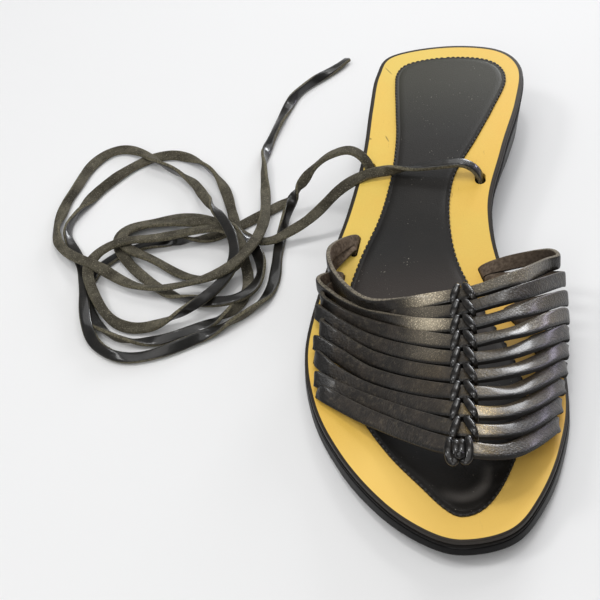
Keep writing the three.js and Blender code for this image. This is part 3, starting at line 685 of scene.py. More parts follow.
class Finish:
    """A material under construction: a Principled shader and the nodes that feed it."""

    def __init__(self, name, fixed):
        self.material = bpy.data.materials.new(name)
        self.material.use_nodes = True
        self.tree = self.material.node_tree
        self.shader = self.tree.nodes["Principled BSDF"]
        for label, value in fixed.items():
            self.shader.inputs[label].default_value = value

    def node(self, kind, settings=None, inputs=None, output=0):
        """A node of any kind: its settings first, then the values or links of its sockets."""
        made = self.tree.nodes.new(kind)
        for label, value in (settings or {}).items():
            setattr(made, label, value)
        for label, value in (inputs or {}).items():
            self.feed(made.inputs[label], value)
        return Socket(self, made.outputs[output])

    def feed(self, socket, value):
        """Links an output to a socket, or sets the socket's own value."""
        if isinstance(value, Socket):
            self.tree.links.new(value.output, socket)
        else:
            socket.default_value = value

    def place(self):
        """The point of the piece, in metres."""
        return self.node("ShaderNodeTexCoord", output="Object")

    def stretched(self, scale):
        """The place with its axes scaled, for streaks."""
        return self.node("ShaderNodeMapping", {}, {"Vector": self.place(), "Scale": scale})

    def axis(self, letter):
        """One coordinate of the place."""
        return self.node("ShaderNodeSeparateXYZ", {}, {0: self.place()}, letter)

    def forward(self):
        """How far the place is towards the toe."""
        return 0 - self.axis("Y")

    def leather(self, letter):
        """Millimetres along the leather, X, or the share round it, Y, from the UV map."""
        uv = self.node("ShaderNodeUVMap", {"uv_map": "Leather"})
        return self.node("ShaderNodeSeparateXYZ", {}, {0: uv}, letter)

    def attribute(self, name):
        """A mark or tone that the piece's points carry."""
        return self.node("ShaderNodeAttribute", {"attribute_name": name}, output="Fac")

    def noise(self, scale, detail=3.0, rough=0.55, at=None):
        """Cloudy value about a half."""
        inputs = {"Vector": at or self.place(), "Scale": scale, "Detail": detail, "Roughness": rough}
        return self.node("ShaderNodeTexNoise", {}, inputs)

    def pebbles(self, scale):
        """Distance to the nearest of scattered points, for a pebble grain."""
        inputs = {"Vector": self.place(), "Scale": scale}
        return self.node("ShaderNodeTexVoronoi", {"feature": "F1"}, inputs, "Distance")

    def mix(self, share, first, second):
        """Blend of two colours; a plain colour is three numbers."""
        full = [c if isinstance(c, Socket) else (*c, 1.0) for c in (first, second)]
        return self.node("ShaderNodeMix", {"data_type": "RGBA"}, {0: share, 6: full[0], 7: full[1]}, 2)

    def coats(self, base, *coats):
        """Colours laid over one another: each coat is the share that it covers, and its colour."""
        for share, tone in coats:
            base = self.mix(share, base, tone)
        return base

    def set(self, **links):
        """Feeds the shader's sockets, named in small letters with underscores."""
        for label, value in links.items():
            self.feed(self.shader.inputs[label.replace("_", " ").title()], value)

    def bump(self, height, depth, strength):
        """Relief from a height of about 0 to 1, times a depth in metres."""
        inputs = {"Height": height, "Distance": depth, "Strength": strength}
        self.set(normal=self.node("ShaderNodeBump", {}, inputs))


def strip_leather(colours):
    """Waxed black leather with a fine pebble grain, pale cut edges and a brown suede flesh side. Beside the
    lace a pale speckle is a painted highlight; the strip ends near the outer side, the grain faces of the
    strips with the palest edges, a band along each front edge and the inner part of the flesh side are
    darker as painted shade."""
    finish = Finish("strip_leather", {"Coat Roughness": 0.18, "Specular IOR Level": 0.4})
    side = finish.attribute("side")
    painted_highlight = finish.attribute("painted_highlight")
    pale_edge_and_shaded_face = finish.attribute("raw_edge")
    turn = finish.leather("Y")
    rear = turn.ramp(0.3, 0.4) * (1 - turn.ramp(0.6, 0.7)) * pale_edge_and_shaded_face
    # Painted shade: a dark band along each strip's front edge, where the gap to the next strip lies in
    # shadow
    front = 1 - turn.ramp(0.165, 0.24)
    grain_side = side.ramp(0.55, 0.95)
    flesh_side = (0 - side).ramp(0.55, 0.95)
    fine = finish.noise(3600, 2)
    worn = finish.noise(160, 4)
    speck = finish.noise(2300, 2).ramp(0.52, 0.68)
    dust = finish.noise(2600, 2).ramp(0.68, 0.78) * finish.noise(240, 3).ramp(0.45, 0.7)
    mottle = finish.noise(560, 5, 0.7)
    # Painted shade on the strip ends near the outer side, where they turn down towards their slots
    tip = (0 - finish.axis("X")).ramp(0.0335, 0.0375)
    # Tints of the painted highlight, whiter on the rear strips and golder on the front ones
    highlight_tint = finish.mix(finish.forward().ramp(0.06, 0.075), srgb(226, 211, 182), srgb(226, 196, 134))
    dark = finish.coats(
        colours.strip,
        (worn.ramp(0.35, 0.75), srgb(56, 49, 42)),
        (mottle.ramp(0.5, 0.72) * 0.55, srgb(98, 89, 75)),
        ((1 - mottle).ramp(0.52, 0.7) * 0.5, srgb(14, 12, 11)),
        # Painted shade on the outer ends
        (tip * 0.85, srgb(11, 10, 10)),
        # Painted shade: darker grain faces on the strips with the palest edges, which stand on edge
        (pale_edge_and_shaded_face.ramp(0.4, 1.0) * 0.65, srgb(15, 13, 12)),
        (dust * 0.4, srgb(150, 140, 124)),
        # Painted highlight: pale speckle beside the lace in place of the gloss's reflections
        (painted_highlight * (0.3 + 0.7 * speck), highlight_tint),
        # Painted shade along the front edge
        (front * 0.92, srgb(9, 8, 7)))
    raw = finish.mix(finish.noise(1800, 3).ramp(0.3, 0.7), colours.strip_edge, srgb(70, 65, 55))
    raw = finish.mix(rear, srgb(16, 14, 12), raw)
    suede = finish.coats(
        colours.flesh,
        (finish.noise(900, 5).ramp(0.3, 0.7), srgb(80, 66, 54)),
        # Painted shade: the flesh side darker towards the inner side
        (finish.axis("X").ramp(0.0, 0.045) * 0.75, srgb(44, 36, 27)))
    polish = 0.4 - 0.16 * worn - 0.12 * fine + 0.06 * painted_highlight + 0.12 * pale_edge_and_shaded_face
    finish.set(
        base_color=finish.coats(raw, (grain_side, dark), (flesh_side, suede)),
        roughness=0.74 - grain_side * polish + flesh_side * 0.16,
        coat_weight=grain_side * (0.4 + 0.4 * painted_highlight - 0.2 * pale_edge_and_shaded_face) * (1 - 0.6 * front))
    finish.bump(finish.pebbles(1250) * grain_side + fine * 0.45, depth=0.00017, strength=0.85)
    return finish.material


def scratches(finish):
    """Share of dirt in the heel's few scratches: each fades with the distance along and across it."""
    marks = 0.0
    for x, along, turn, long, wide in SCRATCHES:
        middle = on_frame(x, along, 0.0) * MM
        side, ahead = finish.axis("X") - middle[0], finish.axis("Y") - middle[1]
        cos, sin = math.cos(math.radians(turn)), math.sin(math.radians(turn))
        length = (side * cos + ahead * sin) * (1 / (long / 2 * MM))
        across = (ahead * cos - side * sin) * (1 / (wide / 2 * MM))
        marks = (1 - (length * length + across * across).ramp(0.2, 1.0)) + marks
    return marks


def tan_leather(colours):
    """Smooth yellow tan leather, deeper towards the toe and the inner waist, with faint patches, short
    scuffs, a few scratches, a burnished dark rim, and painted light that brightens the toe end."""
    finish = Finish("tan_insole", {"Coat Weight": 0.08, "Coat Roughness": 0.3, "Specular IOR Level": 0.35})
    rim = finish.attribute("rim")
    patch = finish.noise(26, 4).ramp(0.35, 0.68)
    ahead = finish.forward().ramp(-0.05, 0.09)
    inward = finish.axis("X").ramp(0.0, 0.035)
    fibre = finish.noise(1900, 4)
    scuff = finish.noise(1, 3, at=finish.stretched((900, 130, 300))).ramp(0.66, 0.76)
    scuff = scuff * finish.noise(34, 2).ramp(0.5, 0.64)
    base = finish.coats(
        colours.insole,
        (patch * 0.3 + ahead * 0.45 + inward * 0.25, colours.insole_warm),
        ((fibre - 0.5) * 0.25 + 0.05, srgb(190, 134, 54)),
        (scuff * 0.45, srgb(140, 96, 44)),
        (scratches(finish) * (0.3 + 0.6 * fibre), srgb(92, 66, 34)),
        # Painted light: the toe end is brightened against the shade that the strips cast there
        (finish.forward().ramp(0.07, 0.1) * 0.8, srgb(252, 210, 110)),
        (rim.ramp(0.35, 0.75), colours.insole_rim))
    finish.set(base_color=base, roughness=0.42 + 0.14 * fibre + 0.1 * rim)
    finish.bump(fibre + 0.5 * finish.noise(420, 3), depth=0.00006, strength=0.5)
    return finish.material


def brown_layer(colours):
    """Dark brown fibre board edge of the midsole."""
    finish = Finish("midsole_edge", {"Specular IOR Level": 0.15})
    streak = finish.noise(1, 4, at=finish.stretched((300, 300, 4200)))
    finish.set(
        base_color=finish.mix(streak.ramp(0.3, 0.7), colours.midsole, srgb(14, 12, 10)),
        roughness=0.55 + 0.2 * streak)
    finish.bump(streak, depth=0.0001, strength=0.6)
    return finish.material


def edge_paint(colours):
    """Black edge paint over the wedge, a little uneven, polished round the toe, with a matt underside that
    has faint ribs in its finish."""
    finish = Finish("sole_paint", {"Coat Roughness": 0.14, "Specular IOR Level": 0.08})
    under = finish.attribute("under")
    toe = finish.forward().ramp(0.07, 0.11)
    brush = finish.noise(1, 4, at=finish.stretched((60, 60, 900)))
    pits = finish.noise(1400, 2).ramp(0.6, 0.8)
    rib_inputs = {"Vector": finish.place(), "Scale": 70.0}
    ribs = finish.node("ShaderNodeTexWave", {"bands_direction": "Y"}, rib_inputs)
    dust = finish.noise(900, 3).ramp(0.62, 0.75) * finish.noise(40, 2).ramp(0.4, 0.65)
    finish.set(
        base_color=finish.coats(colours.sole, (dust * 0.12, srgb(92, 88, 84)), (under, srgb(34, 32, 31))),
        roughness=0.3 + 0.16 * brush + 0.1 * dust + under * 0.35,
        coat_weight=(1 - under) * (0.03 + 0.14 * toe))
    finish.bump(brush * 0.6 + pits * 0.15 + ribs * under * 3, depth=0.00012, strength=0.6)
    return finish.material


def dent_sheen(finish):
    """Share of light in the toe's soft dent: an arc of an ellipse, strongest on its inner front side."""
    middle, reach = TOE_DENT["middle"], TOE_DENT["reach"]
    side = (finish.axis("X") - middle[0] * MM) * (1 / (reach[0] * MM))
    ahead = (middle[1] * MM - finish.axis("Y")) * (1 / (reach[1] * MM))
    away = side * side + ahead * ahead
    arc = away.ramp(0.35, 1.0) * (1 - away.ramp(1.0, 1.7))
    return arc * (ahead + 0.6 * side).ramp(0.0, 1.1) * 0.8


def satin_sock(colours):
    """Satin black sock with a fine grain and a little dust, painted sheen on the heel and just behind the
    strips, and a painted highlight round the toe's dent.
    """
    finish = Finish("sock_satin", {"Specular IOR Level": 0.26, "Coat Roughness": 0.35})
    grain = finish.noise(2200, 4)
    slow = finish.noise(30, 3)
    dust = finish.noise(1500, 1).ramp(0.73, 0.78) * finish.noise(90, 2).ramp(0.46, 0.62)
    # Painted sheen: a lighter brown band on the sock just behind the strips
    ball = finish.forward().ramp(-0.005, 0.02) * (1 - finish.forward().ramp(0.03, 0.06))
    base = finish.coats(
        colours.sock,
        (slow.ramp(0.3, 0.7) * 0.5, srgb(32, 28, 23)),
        # Painted sheen: a lighter olive heel in place of the reflection of the light behind
        (finish.axis("Y").ramp(0.05, 0.11), srgb(56, 55, 46)),
        # Painted sheen just behind the strips
        (ball, srgb(52, 45, 41)),
        # Painted highlight round the toe's dent
        (dent_sheen(finish), srgb(88, 84, 80)),
        (dust * 0.6, srgb(190, 184, 170)),
        (finish.attribute("rim").ramp(0.5, 0.9), srgb(22, 20, 18)))
    finish.set(
        base_color=base,
        roughness=0.4 + 0.12 * grain + 0.08 * slow,
        coat_weight=0.06 + 0.06 * slow)
    finish.bump(grain + finish.pebbles(1700) * 0.6, depth=0.00007, strength=0.6)
    return finish.material


def lace_leather():
    """Dark lace with a waxed face."""
    finish = Finish("vamp_lace", {"Coat Roughness": 0.09, "Specular IOR Level": 0.2})
    grain = finish.noise(1700, 3)
    worn = finish.noise(500, 3).ramp(0.4, 0.7)
    finish.set(
        base_color=finish.mix(worn, srgb(12, 11, 10), srgb(34, 30, 26)),
        roughness=0.22 + 0.16 * grain,
        coat_weight=0.42 + 0.25 * worn)
    finish.bump(grain, depth=0.00006, strength=0.4)
    return finish.material


def tie_leather(colours):
    """Flat lace leather: one face waxed black, the other olive suede with pale fibres, and paler raw
    edges."""
    finish = Finish("tie_leather", {"Coat Roughness": 0.1, "Specular IOR Level": 0.25})
    side = finish.attribute("side")
    waxed = side.ramp(0.4, 0.9)
    sueded = (0 - side).ramp(0.4, 0.9)
    streak_inputs = {0: finish.leather("X") * 0.05, 1: side * 1.4, 2: 0.0}
    streak = finish.noise(2.0, 4, at=finish.node("ShaderNodeCombineXYZ", {}, streak_inputs))
    grain = finish.noise(1500, 4)
    fibre = finish.noise(2300, 3).ramp(0.56, 0.7)
    blotch = finish.noise(620, 4).ramp(0.5, 0.72)
    worn = finish.noise(130, 4).ramp(0.35, 0.7)
    black = finish.mix(worn * 0.6, colours.tie, srgb(40, 37, 33))
    nap = finish.coats(
        srgb(62, 58, 48),
        (worn * 0.6 + streak.ramp(0.5, 0.8) * 0.4, srgb(108, 103, 88)),
        (blotch * 0.6, srgb(40, 37, 30)),
        (fibre * 0.55, srgb(166, 159, 138)))
    raw = finish.mix(grain.ramp(0.35, 0.7), colours.tie_edge, srgb(62, 59, 50))
    finish.set(
        base_color=finish.coats(raw, (waxed, black), (sueded, nap)),
        roughness=0.8 - 0.52 * waxed + 0.14 * grain,
        coat_weight=waxed * 0.5)
    finish.bump(grain + streak * 0.4 + fibre * sueded * 0.5, depth=0.00016, strength=0.8)
    return finish.material


def thread(colours):
    """Waxed black thread of the sock's border."""
    finish = Finish("border_thread", {"Coat Roughness": 0.3})
    twist = finish.noise(3200, 2)
    finish.set(
        base_color=finish.mix(twist.ramp(0.4, 0.7), colours.sole, srgb(62, 58, 52)),
        roughness=0.5 + 0.2 * twist)
    finish.bump(twist, depth=0.0001, strength=0.5)
    return finish.material


def floor_paint(colours):
    """Pale floor with barely any tone of its own."""
    finish = Finish("floor_paint", {"Specular IOR Level": 0.1})
    tone = finish.noise(6, 2)
    finish.set(base_color=finish.mix(tone * 0.02, colours.floor, srgb(228, 228, 228)), roughness=0.9)
    return finish.material


class SANDAL_OT_stage(bpy.types.Operator):
    """Pale floor, soft light and the camera"""
    bl_idname = "sandal.stage"
    bl_label = "Stage"

    def execute(self, context):
        scene = context.scene
        scene.camera = self.camera(scene)
        sheet = bpy.data.meshes.new("floor")
        corners = [(x * FLOOR_HALF, y * FLOOR_HALF, 0) for x, y in ((-1, -1), (1, -1), (1, 1), (-1, 1))]
        sheet.from_pydata(corners, [], [(0, 1, 2, 3)])
        sheet.materials.append(floor_paint(scene.sandal_colours))
        floor = bpy.data.objects.new("floor", sheet)
        scene.collection.objects.link(floor)
        scene.view_settings.view_transform = "Standard"
        for row in LIGHTS:
            self.light(scene, *row)
        world = bpy.data.worlds.new("studio")
        world.use_nodes = True
        world.node_tree.nodes["Background"].inputs["Color"].default_value = (1, 1, 1, 1)
        world.node_tree.nodes["Background"].inputs["Strength"].default_value = WORLD_LIGHT
        scene.world = world
        return {"FINISHED"}

    @staticmethod
    def camera(scene):
        """The camera at its eye, aimed at its target and rolled about its view."""
        stage = scene.sandal_stage
        eye, target = Vector(stage.eye), Vector(stage.target)
        lens = bpy.data.cameras.new("camera")
        lens.lens = stage.lens
        lens.sensor_width = SENSOR
        lens.clip_start = NEAR_CLIP
        made = bpy.data.objects.new("camera", lens)
        level = (target - eye).to_track_quat("-Z", "Y").to_matrix().to_4x4()
        made.matrix_world = Matrix.Translation(eye) @ level @ Matrix.Rotation(stage.roll, 4, "Z")
        scene.collection.objects.link(made)
        return made

    @staticmethod
    def light(scene, name, place, size, power, tint):
        """A square soft light that faces the middle of the floor."""
        lamp = bpy.data.lights.new(name, "AREA")
        lamp.color = tint
        lamp.size = size
        lamp.energy = power
        holder = bpy.data.objects.new(name, lamp)
        holder.location = place
        holder.rotation_euler = (-Vector(place)).to_track_quat("-Z", "Y").to_euler()
        scene.collection.objects.link(holder)


class Tie:
    """One ankle tie: an evenly stepped route, the twist of its flat section, and the room that it needs."""
    # Millimetres along the tie: a step of its route, a half turn, and where its wander sets in
    STEP = 1.5
    FLIP = 26
    WANDER_STARTS = (20, 60)
    # Points drawn for each point of the route, and the share of the wander that a crossing leaves
    DENSE = 40
    KEPT_WANDER = 0.15

    def __init__(self, lead, on_floor, width, thick, waves, flips):
        rest = np.column_stack([np.array(on_floor, float), np.full(len(on_floor), thick / 2 + FLOOR_ROOM)])
        route = np.vstack([np.array(lead), rest])
        dense = centripetal(on_frame(*route.T), np.linspace(0, 1, self.DENSE * len(route)))
        self.points, self.run = resampled(dense, self.STEP)
        self.points[:, :2] = softened(self.points[:, :2], width=3, hold=6)
        self.points, self.run = resampled(self.points, self.STEP)
        self.width = width
        self.thick = thick
        wander = sum(size * np.sin(2 * np.pi * self.run / wave + phase) for size, wave, phase in waves)
        self.wander = wander * smoothstep(self.run, *self.WANDER_STARTS)
        half_turns = sum((-1) ** k * smoothstep(self.run, at, at + self.FLIP) for k, at in enumerate(flips))
        self.flipped = np.pi * half_turns
        self.turn_flat(np.zeros(len(self.run)))

    def turn_flat(self, share):
        """Takes a share of the wander out of the twist, and measures half the height that the section then
        needs."""
        self.twist = self.flipped + self.wander * (1 - (1 - self.KEPT_WANDER) * share)
        sin, cos = np.abs(np.sin(self.twist)), np.abs(np.cos(self.twist))
        self.half = sin * self.width / 2 + cos * self.thick / 2

    def grid(self):
        """Flat section carried along the route, turned about it by the twist, a little uneven in breadth."""
        run = tangents(self.points)
        level = unit(np.cross(UPRIGHT, run))
        above = np.cross(run, level)
        turn = self.twist[:, None]
        over = level * np.cos(turn) + above * np.sin(turn)
        up = above * np.cos(turn) - level * np.sin(turn)
        wobble = 1 + 0.05 * np.sin(self.run / 7.0) + 0.04 * np.sin(self.run / 2.9 + 1)
        section = band_section(self.width, self.thick, points=20, corner=0.45)
        return carried(self.points, over, up, section, wobble)


def lay_down(ties):
    """Heights of ties that lie on the floor and on each other. Near a crossing a tie turns its flat side
    down. Each step lies on whatever was laid before it within a lace's width; a lift falls away along the
    tie as a long low hump; passes repeat until the heap is settled."""
    places = np.concatenate([t.points for t in ties])
    owner = np.concatenate([np.full(len(t.points), k) for k, t in enumerate(ties)])
    run = np.concatenate([t.run for t in ties])
    order = np.concatenate([np.arange(len(t.points))[::-1 if k == 0 else 1] for k, t in enumerate(ties)])
    order = order + owner * len(owner)
    width = ties[0].width
    apart = np.linalg.norm(places[:, None, :2] - places[None, :, :2], axis=-1)
    same = owner[:, None] == owner[None]
    between = np.abs(run[:, None] - run[None])
    near = (apart < CROSSING * width) & ~(same & (between < OWN_RUN * width))
    crossed = near.any(axis=1).astype(float)
    for k, tie in enumerate(ties):
        tie.turn_flat(softened(crossed[owner == k], width=4))
    half = np.concatenate([t.half for t in ties])
    meets = near & (order[:, None] > order[None])
    room = (half[:, None] + half[None]) * np.sqrt(np.clip(1 - (apart / (LIFT_REACH * width)) ** 2, 0, 1))
    base = np.maximum(places[:, 2], half + LAID_ROOM)
    fall = np.where(same, LIFT_SLOPE * between, np.inf)
    lift = np.zeros(len(base))
    for _ in range(PASSES):
        need = np.where(meets, (base + lift)[None] + room, 0).max(axis=1)
        lift = (np.maximum(need - base, 0)[None] - fall).max(axis=1)
        lift = np.maximum(lift, 0)
    for k, tie in enumerate(ties):
        mine = (base + lift)[owner == k]
        tie.points[:, 2] = np.maximum(softened(mine, width=4, hold=8), tie.half + FLOOR_ROOM)


class SANDAL_OT_ties(bpy.types.Operator):
    """Two flat ankle ties that rise from their slots, pass over the edge and lie in loose turns"""
    bl_idname = "sandal.ties"
    bl_label = "Ankle ties"

    def execute(self, context):
        sizes = context.scene.sandal_sizes
        width, thick = sizes.tie_width / MM, sizes.tie_thick / MM
        outer = Tie(OUTER_LEAD, OUTER_FLOOR, width, thick, OUTER_WAVES, OUTER_FLIPS)
        inner = Tie(INNER_LEAD, INNER_FLOOR, width, thick, INNER_WAVES, INNER_FLIPS)
        lay_down([outer, inner])
        finish = tie_leather(context.scene.sandal_colours)
        for name, tie, hole, nodes in (
            ("inner_tie", inner, INNER_LEAD[1], ("tie_inner_lead", "tie_free_end", "tie_pile")),
            ("outer_tie", outer, OUTER_LEAD[1], ("tie_outer_lead",)),
        ):
            made = piece(name, [tie.grid()], finish, "side")
            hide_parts(*nodes)
            tuple(on_frame(*hole) * MM)
        return {"FINISHED"}


def wedge_rings(last, along, side):
    """The wedge: a flat rim below, a quarter circle at its foot, a straight wall and a small top edge."""
    foot = last.edge_foot(along) - last.waist_lean(along) * (side > 0)
    edge = last.edge_top(along)
    bottom = last.sole_bottom(along)
    top = last.insole_top(along) - INSOLE_THICK - MIDSOLE_THICK - LAYER_GAP
    wall = top - WEDGE["wall_end"] - bottom - WEDGE["foot"]
    rings = [(foot - WEDGE["rim"], bottom, 1.0)]
    for share in np.linspace(0, 1, 6):
        inward = WEDGE["foot"] * (1 - math.sin(share * np.pi / 2))
        rise = WEDGE["foot"] * (1 - math.cos(share * np.pi / 2))
        rings.append((foot - inward, bottom + rise, 1.0 - share))
    for share in np.linspace(0, 1, 7)[1:]:
        rings.append((foot + (edge - foot) * share, bottom + WEDGE["foot"] + wall * share, 0.0))
    return rings + [(edge - inward, top - drop, 0.0) for inward, drop in WEDGE["edge"]]


def midsole_rings(last, along, side):
    """The midsole: its edge comes out in steps from the lower face and goes in by the same steps above."""
    below, above = MIDSOLE_GAPS
    low = last.insole_top(along) - INSOLE_THICK - MIDSOLE_THICK - below
    high = last.insole_top(along) - INSOLE_THICK - above
    rings = [(outward, low + step, 0.0) for outward, step in MIDSOLE_EDGE]
    return rings + [(outward, high - step, 0.0) for outward, step in MIDSOLE_EDGE[::-1]]


def insole_rings(last, along, side):
    """The insole: a lower edge in steps, a rounded upper edge, the rim that fades inwards and the top."""
    top = last.insole_top(along)
    rim = np.interp(along, RIM["along"], RIM["width"])
    rings = [(outward, top - INSOLE_THICK + step, 1.0) for outward, step in INSOLE_EDGE]
    rings += quarter_round(INSOLE_ROUND, top)
    rings += [(-rim - more, top, mark) for more, mark in RIM_FADE]
    return rings + [(-INSOLE_FLAT, top, 0.0)]


def sock_rings(last, along, side):
    """The sock: a foot set into the insole, a rounded edge, the groove of the stitches and the flat top."""
    insole = last.insole_top(along)
    top = insole + SOCK["top"]
    rings = [(-inward, insole - SOCK["sunk"], 1.0) for inward in SOCK["foot"]]
    rings += quarter_round(SOCK["round"], top - SOCK["edge_drop"])
    return rings + [(-inward, top - depth, mark) for inward, depth, mark in SOCK_GROOVE]


class SANDAL_OT_sole(bpy.types.Operator):
    """Wedge sole with a softened foot, and the brown midsole above it"""
    bl_idname = "sandal.sole"
    bl_label = "Sole and midsole"

    def execute(self, context):
        last = Last(context.scene.sandal_sizes)
        colours = context.scene.sandal_colours
        sole = piece("wedge", [layer(last, last.insole_edge, wedge_rings)], edge_paint(colours), "under")
        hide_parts("wedge_sole")
        edge = layer(last, last.insole_edge, midsole_rings)
        board = piece("midsole_board", [edge], brown_layer(colours), "rim")
        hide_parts("midsole")
        return {"FINISHED"}


def slot_prism(middle, run, long, wide, level, points=24):
    """Upright prism with round ends: a stadium outline carried from below the level to above it."""
    angle = 2 * np.pi * (np.arange(points) + 0.5) / points
    ends = np.where(np.cos(angle) > 0, 1, -1) * (long - wide) / 2
    along = ends + wide / 2 * np.cos(angle)
    across = wide / 2 * np.sin(angle)
    side = np.array([-run[1], run[0]])
    spot = middle + along[:, None] * run + across[:, None] * side
    rings = [on_frame(spot[:, 0], spot[:, 1], z) for z in (level - PUNCH_REACH, level + PUNCH_REACH)]
    centres = [np.broadcast_to(ring.mean(axis=0), ring.shape) for ring in rings]
    grid = np.stack([centres[0], *rings, centres[1]])
    return grid, np.ones(grid.shape[:2])


class SANDAL_OT_insole(bpy.types.Operator):
    """Tan insole with slots for the strips and for the ties"""
    bl_idname = "sandal.insole"
    bl_label = "Insole"

    def execute(self, context):
        sizes = context.scene.sandal_sizes
        last = Last(sizes)
        finish = tan_leather(context.scene.sandal_colours)
        sheet = layer(last, last.insole_edge, insole_rings, stations=320, across=24)
        insole = piece("tan_insole", [sheet], finish, "rim")
        punch = piece("slot_punch", self.cuts(last, sizes), finish, "rim")
        cut = insole.modifiers.new("slots", "BOOLEAN")
        cut.operation = "DIFFERENCE"
        cut.solver = "EXACT"
        cut.object = punch
        shaped = bpy.data.meshes.new_from_object(insole.evaluated_get(context.evaluated_depsgraph_get()))
        insole.modifiers.clear()
        insole.data = shaped
        shaped.set_sharp_from_angle(angle=CUT_ANGLE)
        bpy.data.objects.remove(punch)
        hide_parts("insole")
        return {"FINISHED"}

    @staticmethod
    def cuts(last, sizes):
        """Prisms of all slots: one for each pair of strips on each side, and one for each tie."""
        wide = sizes.strip_thick / MM + SLOT_ROOM["wide"]
        places = []
        for pair in range(STRIPS // 2):
            for row in (OUTER_SLOT, INNER_SLOT):
                long = 2 * sizes.strip_width / MM * row["share"] + row["gap"] + SLOT_ROOM["long"]
                places.append((*last.slot(row, pair), long, wide))
        for hole in (INNER_TIE_HOLE, OUTER_TIE_HOLE):
            places.append((np.array(hole), np.array([0.0, 1.0]), *TIE_SLOT))
        return [slot_prism(*place, float(last.insole_top(place[0][1]))) for place in places]


class SANDAL_OT_sock(bpy.types.Operator):
    """Raised black sock with a stitched border"""
    bl_idname = "sandal.sock"
    bl_label = "Sock"

    def execute(self, context):
        last = Last(context.scene.sandal_sizes)
        colours = context.scene.sandal_colours
        sheet = layer(last, last.sock_edge, sock_rings, stations=320, across=20)
        sock = piece("black_sock", [sheet], satin_sock(colours), "rim")
        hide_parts("sock")
        stitches = piece("border_stitches", self.stitches(last), thread(colours), "side")
        return {"FINISHED"}

    @staticmethod
    def stitches(last, inset=0.25, pitch=2.1, long=1.2, lift=0.55, bow=0.16, stations=1500, steps=5):
        """Short threads set end to end round the sock's edge, each a small arched lace."""
        angle = np.linspace(0, np.pi, stations)
        inward = np.full(stations, -inset)
        loop = np.vstack([last.sock_edge.moved(angle, 1, inward),
                          last.sock_edge.moved(angle[::-1], -1, inward)[1:-1]])
        path, run = resampled(np.column_stack([loop, np.zeros(len(loop))]), step=0.25)
        section = band_section(width=0.9, thick=0.7, points=6, corner=0.9)
        arch = bow * np.sin(np.linspace(0, np.pi, steps))
        rows = []
        for start in np.arange(0.4, run[-1] - pitch, pitch):
            at = start + long * np.linspace(0, 1, steps)
            x, along = np.interp(at, run, path[:, 0]), np.interp(at, run, path[:, 1])
            points = on_frame(x, along, last.insole_top(along) + lift + arch)
            ahead = tangents(points)
            over = unit(np.cross(ahead, UPRIGHT))
            rows.append(carried(points, over, np.cross(over, ahead), section))
        return rows


def strip_guides(last, sizes, strip):
    """Guide points of a strip's middle line, from the outer slot over the crown to the inner slot, and the
    direction from its rear edge to its front edge at each: along the slot at the ends, else ahead and tilted
    down."""
    pair = (strip - 1) // 2
    points, across = [], []

    def from_slot(row, rise):
        middle, run = last.slot(row, pair)
        shift = (strip - 2 * pair - 1.5) * (sizes.strip_width / MM * row["share"] + row["gap"])
        points.append(on_frame(*(middle + run * shift), float(last.insole_top(middle[1])) + rise))
        across.append(np.array([run[0], -run[1], 0.0]))

    from_slot(OUTER_SLOT, -TAIL["depth"])
    from_slot(OUTER_SLOT, TAIL["rise"])
    for row in GUIDES.values():
        columns = (row[name] for name in ("x", "along", "z", "tilt"))
        x, along, z, tilt = (float(curve_through(row["strips"], column)(strip)) for column in columns)
        points.append(on_frame(x, along, z))
        across.append(np.array([0.0, -math.cos(math.radians(tilt)), -math.sin(math.radians(tilt))]))
    from_slot(INNER_SLOT, TAIL["rise"])
    from_slot(INNER_SLOT, -TAIL["depth"])
    return np.array(points), np.array(across)


def strip_frames(last, sizes, strip, share):
    """Middle line of a strip with the run of the leather, the unit vector from its rear edge to its front
    edge, and its upward side: curves through the guides, the second made square to the first."""
    points, across = strip_guides(last, sizes, strip)
    centre = centripetal(points, share)
    run = tangents(centre)
    spot = share * (len(points) - 1)
    over = np.stack([curve_through(np.arange(len(points)), column)(spot) for column in across.T], axis=-1)
    over = unit(over - run * np.sum(over * run, axis=1, keepdims=True))
    return centre, run, over, np.cross(over, run)


def crown_frame(last, sizes, strip):
    """The same at a strip's crown alone, with a near step on either side of it for its run."""
    share = CROWN / SPANS + np.array([-NEAR_STEP, 0, NEAR_STEP])
    return [row[1] for row in strip_frames(last, sizes, strip, share)]


def strip_grid(last, sizes, strip):
    """One strip: a flat section with a crowned face carried along its middle line. It is narrower at its
    outer root, and between lace and sides it waves a little."""
    share = np.linspace(0, 1, 240)
    centre, _, over, up = strip_frames(last, sizes, strip, share)
    length = distances(centre)
    spot = share * SPANS
    free = smoothstep(spot, *STRIP_WAVES["from"]) * (1 - smoothstep(spot, *STRIP_WAVES["to"]))
    wave = sum(size * np.sin(length / reach + turn * strip) for size, reach, turn in STRIP_WAVES["waves"])
    centre = centre + up * (wave * free)[:, None]
    root = OUTER_SLOT["share"]
    breadth = root + (1 - root) * smoothstep(spot, *ROOT_WIDENS)
    width, thick = sizes.strip_width / MM, sizes.strip_thick / MM
    section = band_section(width, thick, points=36, corner=0.3, crown=0.12)
    return carried(centre, over, up, section, breadth)


